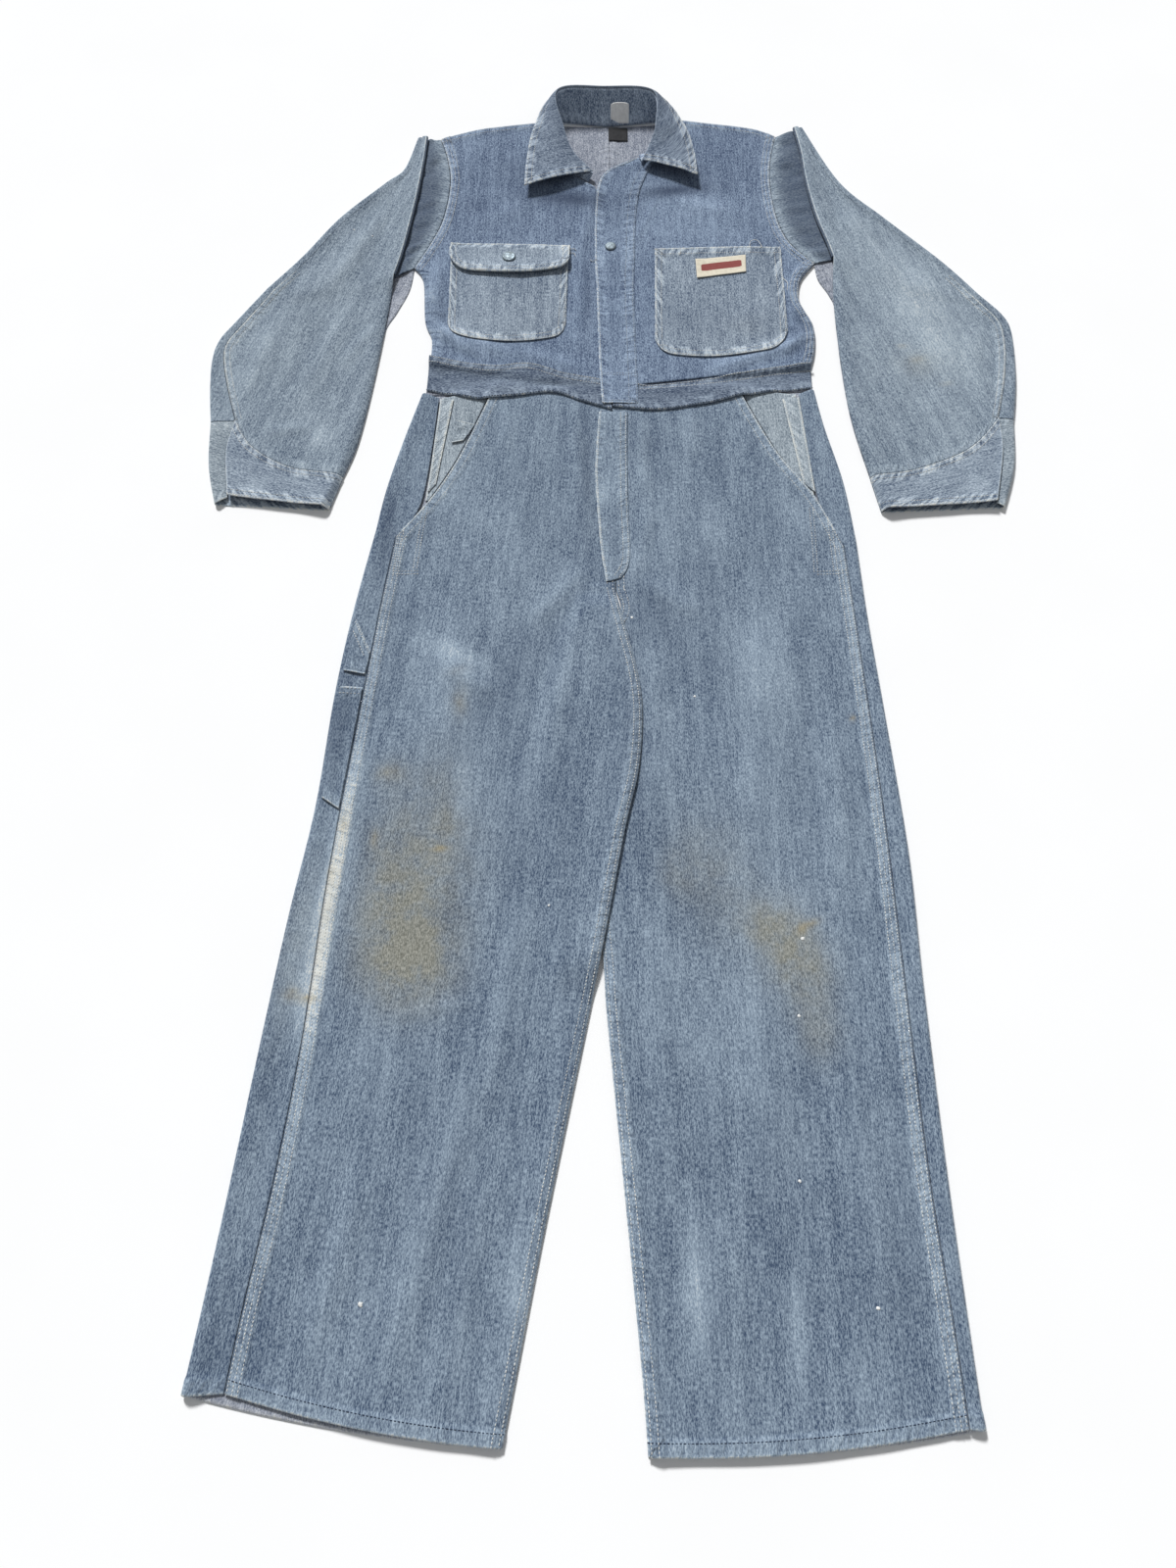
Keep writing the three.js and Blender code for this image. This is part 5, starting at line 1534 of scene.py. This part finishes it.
    lay = Lay(vent, inner, shares([(10, 1.4), (120, 2.8), (10, 1.5)]), rows, bottom=rail(cuff_line))
    gap = np.linalg.norm(cuff_fold(rows) - vent(rows), axis=1)[:, None]
    z = pressed_edge(lay.x, lay.y, lay.right) + fold_top(lay.x, lay.y, gap + lay.left)
    z = z - lying(lay.x, lay.y)
    opening = np.minimum(1, (lay.left + 8) * lay.right / 900)
    z = z + CUFF_ARCH * (0.5 + 0.5 * rows[:, None]) * opening
    z = z + turned(lay.top, (2.2, 8), 10, 0.5) + felled(lay.bottom, (1.5, 7), 8, 0.5)
    sewn = [(lay.top, lay.across), (lay.bottom, lay.across)]
    free = [lay.top * 0.8, lay.left, lay.right + 1, lay.bottom + 1]
    seen = marks(lay, sewn=sewn, free=free, bleach_and_fold_shading=0.04)
    name, below, turn = f"cuff_upper_{hand}", [f"cuff_under_{hand}"], s["grain"] + 90
    shell(name, on(lay, z), "pale_denim", POCKET_DENIM, WRONG_SIDE, seen, CUFF_CLOTH, turn, rests_on=below)

# %% [markdown]
# ## Collar
# The collar stands up round the neck and falls outwards. Three lines in space give it its shape: where
# it meets the neck, its rolled top edge and its outer edge. The stand and the fall are each stretched
# between two of them.

# %% Collar lines
COLLAR_BASE = [
    [0, 1376, 5.2], [-36, 1410, 5.2], [-49, 1450, 5], [-45, 1494, 2.8], [28, 1489, 2.5],
    [101, 1495, 2.8], [106, 1458, 5], [94, 1436, 6.2], [68, 1426, 6.8],
]
COLLAR_ROLL = [
    [7, 1389, 11], [-19, 1420, 17], [-32, 1458, 24], [-41, 1517, 36], [22, 1522, 37],
    [87, 1516, 36], [91, 1464, 28], [84, 1438, 19], [72, 1408, 13],
]
COLLAR_EDGE = [
    [-84, 1358, 14], [-82, 1410, 13], [-74, 1464, 15], [-50, 1526, 15], [22, 1543, 9],
    [98, 1526, 16], [130, 1470, 18], [142, 1421, 16], [145, 1376, 16],
]
COLLAR_CLOTH = 1.9


def through(points):
    """A curve in space whose whole numbers are the points themselves, as a function of 0 to 1."""
    p = np.array(points, float)
    ends = np.vstack([2 * p[:1] - p[1:2], p, 2 * p[-1:] - p[-2:-1]])

    def at(share):
        s = np.asarray(share) * (len(p) - 1)
        k = np.clip(np.floor(s).astype(int), 0, len(p) - 2)
        t = (s - k)[:, None]
        a, b, c, d = (ends[k + i] for i in range(4))
        return bend(a, b, c, d, t)

    return at


def between(low, high, rows, columns, bulge=0.0):
    """A sheet in space from one line to another, bulging upwards between them."""
    a, b = through(low)(rows)[:, None], through(high)(rows)[:, None]
    u = columns[None, :, None]
    return a * (1 - u) + b * u + np.concatenate([0 * u, 0 * u, 4 * bulge * u * (1 - u)], axis=2)


# %% Collar
COLLAR_ROWS = shares([(430, 3)])
stand_top = [[x, y, z - DOUBLE] for x, y, z in COLLAR_ROLL]
grid = between(COLLAR_BASE, stand_top, COLLAR_ROWS, shares([(30, 2.5)]))
lay = measured(grid)
sewn = [(lay.left, lay.up)]
seen = marks(lay, sewn=sewn, free=[lay.right + 1], bleach_and_fold_shading=-0.06)
# Painted shade along the foot of the stand, where it meets the neck, in place of the mapped spots.
seen["dusk"] = seen["dusk"] * 0 + 0.35 * np.exp(-((lay.left / 4) ** 2))
warp = np.dstack([lay.up, lay.across]) * MM
shell("collar_stand", grid, "dark_denim", PAINTED_LIGHT_STAND_DENIM, PAINTED_LIGHT_STAND_DENIM, seen, COLLAR_CLOTH, warp=warp)

grid = between(COLLAR_ROLL, COLLAR_EDGE, COLLAR_ROWS, shares([(8, 1.3), (38, 2.6), (14, 1.3)]), 3)
lay = measured(grid)
leaf_end = np.minimum(lay.top, lay.bottom)
rim = np.minimum(lay.right, leaf_end)
grid[..., 2] += turned(rim, (2.5, 8), 10, 0.4)
grid[..., 2] += 1.7 * (softly(lay.up / 27, lay.left / 24, 71) - 0.45) * step(lay.left, 2, 16)
grid[..., 2] += 1.4 * np.exp(-((rim / 5) ** 2)) * (softly(lay.up / 17, lay.left * 0, 72) - 0.3)
lay = measured(grid)
seen = marks(
    lay,
    sewn=[(lay.right, lay.up), (lay.bottom, lay.across), (lay.top, lay.across)],
    free=[lay.right * 0.75, lay.bottom * 0.75, lay.top * 0.75, lay.left + 0.9],
    bleach_and_fold_shading=-0.02,
)
# Painted shade, patchy, along the roll of the collar's fall.
seen["dusk"] = 0.35 * np.exp(-((lay.left / 16) ** 2)) * softly(lay.up / 30, lay.left / 40, 73)
warp = np.dstack([lay.up, lay.across]) * MM
below = ["collar_stand", "bodice_front_right", "bodice_front_left"]
cloths = (COLLAR_DENIM, COLLAR_DENIM)
shell("collar_fall", grid, "pale_denim", *cloths, seen, COLLAR_CLOTH, warp=warp, rests_on=below)

# %% Neck labels
LABEL_CLOTH = 1.0


def bare(lay):
    """Marks for a label without a band."""
    return {"band": lay.left * 0 + 1}


def label_lay(x, y, width, height, rows):
    sides = rail([[x, y], [x, y + height]]), rail([[x + width, y], [x + width, y + height]])
    return Lay(*sides, shares([(width, 1.8)]), rows)


lay = label_lay(31, 1492, 25, 15, shares([(24, 1.6)]))
rise = lay.bottom / 15
corners = np.maximum(0, 1 - lay.left / 5) ** 2 + np.maximum(0, 1 - lay.right / 5) ** 2
rounded = 2.2 * corners * step(rise, 0.6, 1)
z = 5 + 19 * rise - rounded + 1.2 * np.sin(lay.left / 8) * rise
shell("neck_label_upper", on(lay, z), "white_label", WHITE, WHITE, bare(lay), LABEL_CLOTH)
lay = label_lay(28, 1460, 26, 26, shares([(26, 1.8)]))
waves = 0.5 * softly(lay.x / 8, lay.y / 8, 77)
grid = patch(lay, ["bodice_back_right", "bodice_back_left"], LABEL_CLOTH, waves)
shell("neck_label_lower", grid, "black_label", BLACK, BLACK, bare(lay), LABEL_CLOTH)

# %% [markdown]
# ## Button and snap
# The flap closes with a metal button and the placket with a flatter snap. Both are worn pale. Each is
# turned: an outline carried round its axis, with the little hammered unevenness of stamped metal.

# %% Worn metal
def worn_metal(name, ground):
    material, tree, shader = blank_material(name)
    place = node(tree, "ShaderNodeTexCoord").outputs["Object"]
    patchy = cloudy(tree, place, scale=420, detail=4, roughness=0.6)
    fine = cloudy(tree, place, scale=1900, detail=3)
    dark = tuple(0.6 * c for c in ground)
    colour = blend(tree, remap(tree, patchy, 0.35, 0.65), (*dark, 1), (*ground, 1))
    tree.links.new(colour, shader.inputs["Base Color"])
    tree.links.new(remap(tree, patchy, 0.3, 0.7, 0.68, 0.5), shader.inputs["Roughness"])
    tree.links.new(remap(tree, patchy, 0.4, 0.7, 0.35, 0.75), shader.inputs["Metallic"])
    roughen(tree, shader, fine, 0.35, 0.0002)
    return material


METAL = worn_metal("worn_metal", (0.25, 0.31, 0.35))
STUD_FOOT = 6  # radius of the ring on which a stud stands
STUD_SINK = 0.2


def turned_metal(name, node_name, at, outline, sides=40):
    """A stud turned from an outline of (radius, height) in mm, standing for a packed one."""
    radii, heights = np.array(outline, float).T
    angle = 2 * np.pi * np.arange(sides) / sides
    foot = np.c_[at[0] + STUD_FOOT * np.cos(angle), at[1] + STUD_FOOT * np.sin(angle)]
    base = top_of(foot, FINISHED).mean() - STUD_SINK
    rings = [
        np.c_[at[0] + r * np.cos(angle), at[1] + r * np.sin(angle), np.full(sides, base + z)]
        for r, z in zip(radii[1:-1], heights[1:-1])
    ]
    points = np.vstack([[(*at, base + heights[0])], *rings, [(*at, base + heights[-1])]])
    mesh = bpy.data.meshes.new(name)
    faces = []
    last = len(points) - 1
    for i in range(sides):
        j = (i + 1) % sides
        faces.append((0, 1 + j, 1 + i))
        faces.append((last, last - sides + i, last - sides + j))
        for k in range(len(rings) - 1):
            low, high = 1 + k * sides, 1 + (k + 1) * sides
            faces.append((low + i, low + j, high + j, high + i))
    mesh.from_pydata(placed(points), [], faces)
    mesh.shade_smooth()
    mesh.materials.append(METAL)
    linked(name, mesh, "button_metal", node_name)
    print(f"{name}: {len(faces)} faces")


BUTTON = [
    (0, 0), (5.2, 0), (7.9, 0.5), (8.5, 1.2), (8.3, 1.9), (7.6, 2.5),
    (6.8, 2.75), (6.2, 2.45), (5.4, 2.4), (2.5, 2.7), (0, 2.8),
]
SNAP_CAP = [
    (0, 0), (4.4, 0), (6.5, 0.4), (7.0, 1.0), (6.8, 1.6),
    (6.1, 2.1), (4.8, 2.4), (2.4, 2.55), (0, 2.6),
]
turned_metal("button", "flap_button", BUTTON_AT, BUTTON)
turned_metal("snap", "placket_snap", SNAP_AT, SNAP_CAP)

# %% [markdown]
# ## Stitching
# Thousands of stitches follow the seams, so Geometry Nodes make them. Each row starts as a plan line
# moved in from an edge, is dropped onto the finished cloth, and is cut where another piece covers it.
# The tree then walks along the rows, sets one small rounded stitch at every step, turns it along the
# row, and makes short loose threads out of the lines that are marked loose.

# %% The sewing tree
def sewing_tree():
    tree = bpy.data.node_groups.new("Sewing", "GeometryNodeTree")
    tree.is_modifier = True
    sockets = {}
    for name, kind in {
        "Lines": "Geometry",
        "Stitch pitch": "Float",
        "Stitch length": "Float",
        "Stitch thickness": "Float",
        "Thread thickness": "Float",
        "Seed": "Int",
        "Thread": "Material",
    }.items():
        sockets[name] = tree.interface.new_socket(name=name, in_out="INPUT", socket_type="NodeSocket" + kind)
    tree.interface.new_socket(name="Sewn", in_out="OUTPUT", socket_type="NodeSocketGeometry")
    given = tree.nodes.new("NodeGroupInput").outputs
    out = tree.nodes.new("NodeGroupOutput").inputs
    loose = node(tree, "GeometryNodeInputNamedAttribute", {"Name": "loose"}, data_type="BOOLEAN").outputs[0]
    sewn = node(tree, "FunctionNodeBooleanMath", {0: loose}, operation="NOT").outputs[0]
    rows = node(tree, "GeometryNodeMeshToCurve", {"Mesh": given["Lines"], "Selection": sewn}).outputs[0]
    paced = {"Curve": rows, "Length": given["Stitch pitch"]}
    stops = node(tree, "GeometryNodeCurveToPoints", paced, mode="LENGTH")
    along = node(tree, "FunctionNodeAlignRotationToVector", {"Vector": stops.outputs["Tangent"]}, axis="Z")
    bead = node(tree, "GeometryNodeMeshUVSphere", {"Segments": 5, "Rings": 3, "Radius": 0.5}).outputs[0]
    shape = node(
        tree,
        "ShaderNodeCombineXYZ",
        {"X": given["Stitch thickness"], "Y": given["Stitch thickness"], "Z": given["Stitch length"]},
    ).outputs[0]
    stitch = node(tree, "GeometryNodeTransform", {"Geometry": bead, "Scale": shape}).outputs[0]
    spread_of = {2: 0.78, 3: 1.12, 8: given["Seed"]}
    uneven = node(tree, "FunctionNodeRandomValue", spread_of, data_type="FLOAT").outputs[1]
    set_out = {"Points": stops.outputs["Points"], "Instance": stitch}
    set_out |= {"Rotation": along.outputs[0], "Scale": uneven}
    laid = node(tree, "GeometryNodeInstanceOnPoints", set_out).outputs[0]
    ends = node(tree, "GeometryNodeMeshToCurve", {"Mesh": given["Lines"], "Selection": loose}).outputs[0]
    yarn = node(tree, "GeometryNodeCurvePrimitiveCircle", {"Resolution": 5}).outputs[0]
    radius = calc(tree, "MULTIPLY", given["Thread thickness"], 0.5)
    tree.links.new(radius, yarn.node.inputs["Radius"])
    spun = {"Curve": ends, "Profile Curve": yarn, "Fill Caps": True}
    threads = node(tree, "GeometryNodeCurveToMesh", spun).outputs[0]
    both = tree.nodes.new("GeometryNodeJoinGeometry")
    tree.links.new(threads, both.inputs[0])
    tree.links.new(laid, both.inputs[0])
    real = node(tree, "GeometryNodeRealizeInstances", {"Geometry": both.outputs[0]}).outputs[0]
    soft = node(tree, "GeometryNodeSetShadeSmooth", {"Geometry": real}).outputs[0]
    done = node(tree, "GeometryNodeSetMaterial", {"Geometry": soft, "Material": given["Thread"]}).outputs[0]
    tree.links.new(done, out[0])
    return tree, {name: socket.identifier for name, socket in sockets.items()}


SEWING, SEWING_INPUTS = sewing_tree()
print("sewing tree:", len(SEWING.nodes), "nodes, inputs", list(SEWING_INPUTS))


# %% Thread
def thread_finish(name, dark, light):
    material, tree, shader = blank_material(name)
    place = node(tree, "ShaderNodeTexCoord").outputs["Object"]
    worn = cloudy(tree, place, scale=34, detail=5, roughness=0.7)
    fuzz = cloudy(tree, place, scale=2600, detail=2)
    shade = calc(tree, "MULTIPLY_ADD", fuzz, 0.4, calc(tree, "MULTIPLY", worn, 0.8))
    colour = blend(tree, remap(tree, shade, 0.4, 0.8), (*dark, 1), (*light, 1))
    tree.links.new(colour, shader.inputs["Base Color"])
    tree.links.new(remap(tree, fuzz, 0, 1, 0.9, 0.7), shader.inputs["Roughness"])
    shader.inputs["Specular IOR Level"].default_value = 0.25
    roughen(tree, shader, fuzz, 0.4, 0.0002)
    return material


PALE_THREAD = thread_finish("pale_thread", (0.42, 0.44, 0.45), (0.82, 0.81, 0.75))
GREY_THREAD = thread_finish("grey_thread", (0.22, 0.26, 0.32), (0.5, 0.55, 0.6))
NAVY_THREAD = thread_finish("navy_thread", (0.012, 0.02, 0.045), (0.06, 0.085, 0.14))

# %% Rows of stitches
ROWS = {}  # name of a piece of stitching: its lines, each with whether it is loose
STITCH_SINK = 0.05


def sew(stitching, piece, edge, distances, span=(0.0, 1.0), reach=3.0):
    """Rows on a piece at distances in mm from a plan edge, kept where nothing covers them."""
    length = np.linalg.norm(np.diff(edge(np.linspace(*span, 60)), axis=0), axis=1).sum()
    at = edge(np.linspace(*span, max(3, round(length / 3.2))))
    along = np.gradient(at, axis=0)
    side = np.stack([along[:, 1], -along[:, 0]], axis=1)
    side /= np.linalg.norm(side, axis=1, keepdims=True)
    inward = max((1, -1), key=lambda sign: (top_of(at + sign * side * reach, [piece]) >= 0).sum())
    for distance in distances:
        line = at + inward * side * distance
        own = top_of(line, [piece])
        shown = (own >= 0) & (top_of(line, FINISHED) <= own + 0.4)
        points = np.c_[line, own + STITCH_SINK]
        for run in np.split(np.arange(len(line)), np.flatnonzero(~shown)):
            run = run[shown[run]]
            if len(run) > 2:
                ROWS.setdefault(stitching, []).append((points[run], False))


def loose_thread(stitching, piece, plan_points, rise):
    """A short free end or loop of thread, lying on a piece."""
    line = smooth(plan_points)(np.linspace(0, 1, 14))
    height = rise * np.sin(np.pi * np.linspace(0, 1, 14))
    z = top_of(line, FINISHED)
    z = np.where(z < 0, top_of(line, [piece]).max(), z)
    ROWS.setdefault(stitching, []).append((np.c_[line, z + 0.3 + height], True))


BAG_TACKS = {  # rows through the leg that hold the foot of each pocket bag
    "right": (
        [[-183, 842], [-188, 800], [-191, 762]],
        [[-212, 817], [-215, 785], [-217, 760]],
        [[-217, 757], [-190, 758]],
    ),
    "left": (
        [[257, 842], [257, 800], [256, 757]],
        [[276, 842], [277, 800], [278, 760]],
        [[256, 757], [290, 758]],
    ),
}
for hand in HANDS:
    leg, edge, s = LEGS[hand], EDGES[hand], SLEEVES[hand]
    front, bodice = f"leg_front_{hand}", f"bodice_front_{hand}"
    sew("leg_stitches", front, rail(leg["seam"]), STRIP_ROWS)
    sew("leg_stitches", front, rail(leg["slant"]), (1.8, 9.5))
    sew("leg_stitches", front, rail(leg["inner"][0]), (3, 9))
    sew("leg_stitches", front, rail(leg["inner"][1]), (3, 9))
    hem = bowed(rail(leg["seam"]), rail(leg["inner"][0]), leg["bow"])
    sew("navy_stitches", front, hem, (11,))
    for outer in STRIPS[hand]:
        sew("leg_stitches", f"side_opening_strip_{hand}", rail(outer), (2,))
    for line in BAG_TACKS[hand]:
        sew("leg_stitches", front, rail(line), (0, 4))
    sew("bodice_stitches", bodice, rail(edge["armhole"]), STRIP_ROWS)
    sew("bodice_stitches", bodice, rail(edge["shoulder"]), (2, 8))
    sew("bodice_stitches", f"waistband_front_{hand}", rail(BAND_TOP[hand]), (2, 9))
    sew("navy_stitches", f"waistband_front_{hand}", rail(BAND_FOOT[hand]), (1,))
    fold, ridge_edge = rail(*s["fold"]), rail(*s["ridge"])
    seam = beside(fold, s["strip"], ridge_edge)
    sew("sleeve_stitches", f"sleeve_upper_{hand}", seam, (1.6, 7), (0.44, 1.0))
    cuff_line = rail([seam(1.0).tolist(), *s["cuff_seam"], s["ridge"][1][4]])
    sew("sleeve_stitches", f"cuff_upper_{hand}", cuff_line, (2, 7.5))
    mouth = rail([s["vent"][-1], s["cuff_inner"]])
    sew("sleeve_stitches", f"cuff_upper_{hand}", mouth, (2.2, 8))
sew("bodice_stitches", "bodice_front_left", rail(EDGES["left"]["side"]), STRIP_ROWS)
sew("bodice_stitches", "front_placket", rail(PLACKET_EDGE), (2.2,))
sew("grey_stitches", "front_placket", rail(PLACKET_INNER), (2, 11))
sew("grey_stitches", "front_placket", rail([[16, 999], [60, 999]]), (0,))
sew("grey_stitches", "front_placket", rail([[14, 1044], [60, 1044]]), (0, 4))
sew("leg_stitches", "fly", rail(FLY_SEAM), (2, 8))
sew("leg_stitches", "fly", rail(FLY_EDGE), (2.2,))
POCKET_ROWS = {  # rows round the edge, and rows along the top
    "flap_pocket": ((2.4, 8.5), ()),
    "flap_pocket_flap": ((2.6, 8.5), (2.4,)),
    "open_pocket": ((2.4, 8.5), (2, 10.5)),
}
for name, (round_edge, along_top) in POCKET_ROWS.items():
    left_top, foot, right_top = POCKETS[name]
    sew("bodice_stitches", name, rail([left_top, *foot, right_top]), round_edge)
    sew("bodice_stitches", name, rail([left_top, right_top]), along_top)
collar_edge = rail([[x, y] for x, y, _ in COLLAR_EDGE])
for span in ((0.0, 0.3), (0.66, 1.0)):
    sew("collar_stitches", "collar_fall", collar_edge, (3, 9), span)
for leaf_end in ([[-84, 1358], [7, 1389]], [[145, 1376], [72, 1408]]):
    sew("collar_stitches", "collar_fall", rail(leaf_end), (3, 9))
for name in ("tool_pocket_lower", "tool_pocket_upper"):
    outer, inner = SMALL_PIECES[name]
    sew("leg_stitches", name, rail([outer[-1], inner[-1]]), (2, 8))

# Free ends and loops of thread that the wear has pulled out.
LOOSE_ENDS = [  # the piece that it lies on, its line, how far it rises
    ("open_pocket", [[208, 1255], [210, 1266], [218, 1268], [224, 1258], [221, 1252]], 2),
    ("bodice_front_left", [[247, 1202], [252, 1192], [251, 1180]], 1.2),
    ("bodice_front_right", [[-24, 1252], [-19, 1254], [-15, 1251]], 0.8),
    ("bodice_front_right", [[-24, 1246], [-18, 1246], [-16, 1241]], 0.6),
    ("open_pocket", [[118, 1253], [119, 1246], [117, 1240]], 0.4),
    ("front_placket", [[11, 1234], [5, 1232], [3, 1236]], 0.8),
]
for piece, line, rise in LOOSE_ENDS:
    loose_thread("bodice_stitches", piece, line, rise)

# %% Sewing it all
FINISHES = {"navy_stitches": NAVY_THREAD, "grey_stitches": GREY_THREAD}
SEWING_SIZES = {
    "Stitch pitch": 0.0033,
    "Stitch length": 0.0026,
    "Stitch thickness": 0.0011,
    "Thread thickness": 0.0007,
    "Seed": 5,
}
for name, rows in ROWS.items():
    points = placed(np.vstack([line for line, _ in rows]))
    edges, is_loose, start = [], [], 0
    for line, loose in rows:
        edges += [(start + k, start + k + 1) for k in range(len(line) - 1)]
        is_loose += [loose] * (len(line) - 1)
        start += len(line)
    mesh = bpy.data.meshes.new(name + "_lines")
    mesh.from_pydata(points, edges, [])
    mesh.attributes.new("loose", "BOOLEAN", "EDGE").data.foreach_set("value", is_loose)
    draft = bpy.data.objects.new(name + "_lines", mesh)
    bpy.context.scene.collection.objects.link(draft)
    modifier = draft.modifiers.new("sewing", "NODES")
    modifier.node_group = SEWING
    for given_name, value in SEWING_SIZES.items():
        modifier[SEWING_INPUTS[given_name]] = value
    modifier[SEWING_INPUTS["Thread"]] = FINISHES.get(name, PALE_THREAD)
    evaluated = draft.evaluated_get(bpy.context.evaluated_depsgraph_get())
    sewn_mesh = bpy.data.meshes.new_from_object(evaluated)
    bpy.data.objects.remove(draft)
    sewn_mesh.name = name
    linked(name, sewn_mesh, None)
    triangles = sum(len(p.vertices) - 2 for p in sewn_mesh.polygons)
    print(f"{name}: {len(rows)} rows, {triangles} triangles")

# %% [markdown]
# ## Specks of paint
# Ten white specks of dried paint stick to the cloth. Each is a small drop that flattened as it
# landed: a low dome with an uneven rim.

# %% Specks
SPECKS = [  # place in plan and radius in mm
    (207, 333, 2.3), (198, 258, 1.9), (188, 110, 1.6), (247, 7, 1.9), (-194, 10, 2.6),
    (113, 599, 1.5), (48, 697, 1.6), (-304, 1288, 1.3), (-279, 1274, 1.2), (-38, 366, 1.4),
]
DROP_SIDES = 9
drop_random = np.random.default_rng(12)
points, faces = [], []
for x, y, radius in SPECKS:
    top = top_of(np.array([[x, y]]), FINISHED)[0]
    angle = 2 * np.pi * np.arange(DROP_SIDES) / DROP_SIDES
    uneven_rim = radius * drop_random.uniform(0.65, 1.15, DROP_SIDES)
    start = len(points)
    for share, height in ((0.9, -0.2), (1.0, 0.1), (0.6, 0.4)):
        for r, a in zip(uneven_rim, angle):
            points.append((x + share * r * math.cos(a), y + share * r * math.sin(a), top + height))
    points += [(x, y, top - 0.2), (x, y, top + 0.5)]
    for i in range(DROP_SIDES):
        j = (i + 1) % DROP_SIDES
        for k in range(2):
            low, high = start + k * DROP_SIDES, start + (k + 1) * DROP_SIDES
            faces.append((low + i, low + j, high + j, high + i))
        faces.append((start + 3 * DROP_SIDES, start + j, start + i))
        faces.append((start + 3 * DROP_SIDES + 1, start + 2 * DROP_SIDES + i, start + 2 * DROP_SIDES + j))
mesh = bpy.data.meshes.new("paint_specks")
mesh.from_pydata(placed(points), [], faces)
mesh.shade_smooth()
mesh.materials.append(thread_finish("dried_paint", (0.6, 0.61, 0.6), (0.9, 0.9, 0.88)))
linked("paint_specks", mesh, None)
print(len(SPECKS), "specks of paint,", len(faces), "faces")

# %% [markdown]
# ## Floor and light
# A plain pale floor. One large soft light stands beyond the collar and above, so the collar throws its
# dark shadow towards the hem, and a weak even sky fills the rest.

# %% Floor and light
floor = bpy.data.objects.new("floor", bpy.data.meshes.new("floor"))
floor.data.from_pydata([(-4, -4, 0), (4, -4, 0), (4, 4, 0), (-4, 4, 0)], [], [(0, 1, 2, 3)])
bpy.context.scene.collection.objects.link(floor)
paper, tree, shader = blank_material("pale_floor")
place = node(tree, "ShaderNodeTexCoord").outputs["Object"]
mottled = cloudy(tree, place, scale=6, detail=3)
colour = blend(tree, mottled, (0.9, 0.9, 0.9, 1), (0.93, 0.93, 0.93, 1))
tree.links.new(colour, shader.inputs["Base Color"])
shader.inputs["Roughness"].default_value = 0.95
shader.inputs["Specular IOR Level"].default_value = 0.1
floor.data.materials.append(paper)

world = bpy.data.worlds.new("even sky")
bpy.context.scene.world = world
world.use_nodes = True
sky = world.node_tree.nodes["Background"].inputs
sky["Color"].default_value = (0.96, 0.98, 1.0, 1)
sky["Strength"].default_value = 0.3

window = bpy.data.objects.new("window beyond the collar", bpy.data.lights.new("window", "SUN"))
window.data.energy = 3.8
window.data.angle = math.radians(11)
window.rotation_euler = Vector((0.26, -0.72, -0.66)).to_track_quat("-Z", "Y").to_euler()
bpy.context.scene.collection.objects.link(window)
bpy.context.scene.view_settings.view_transform = "Standard"
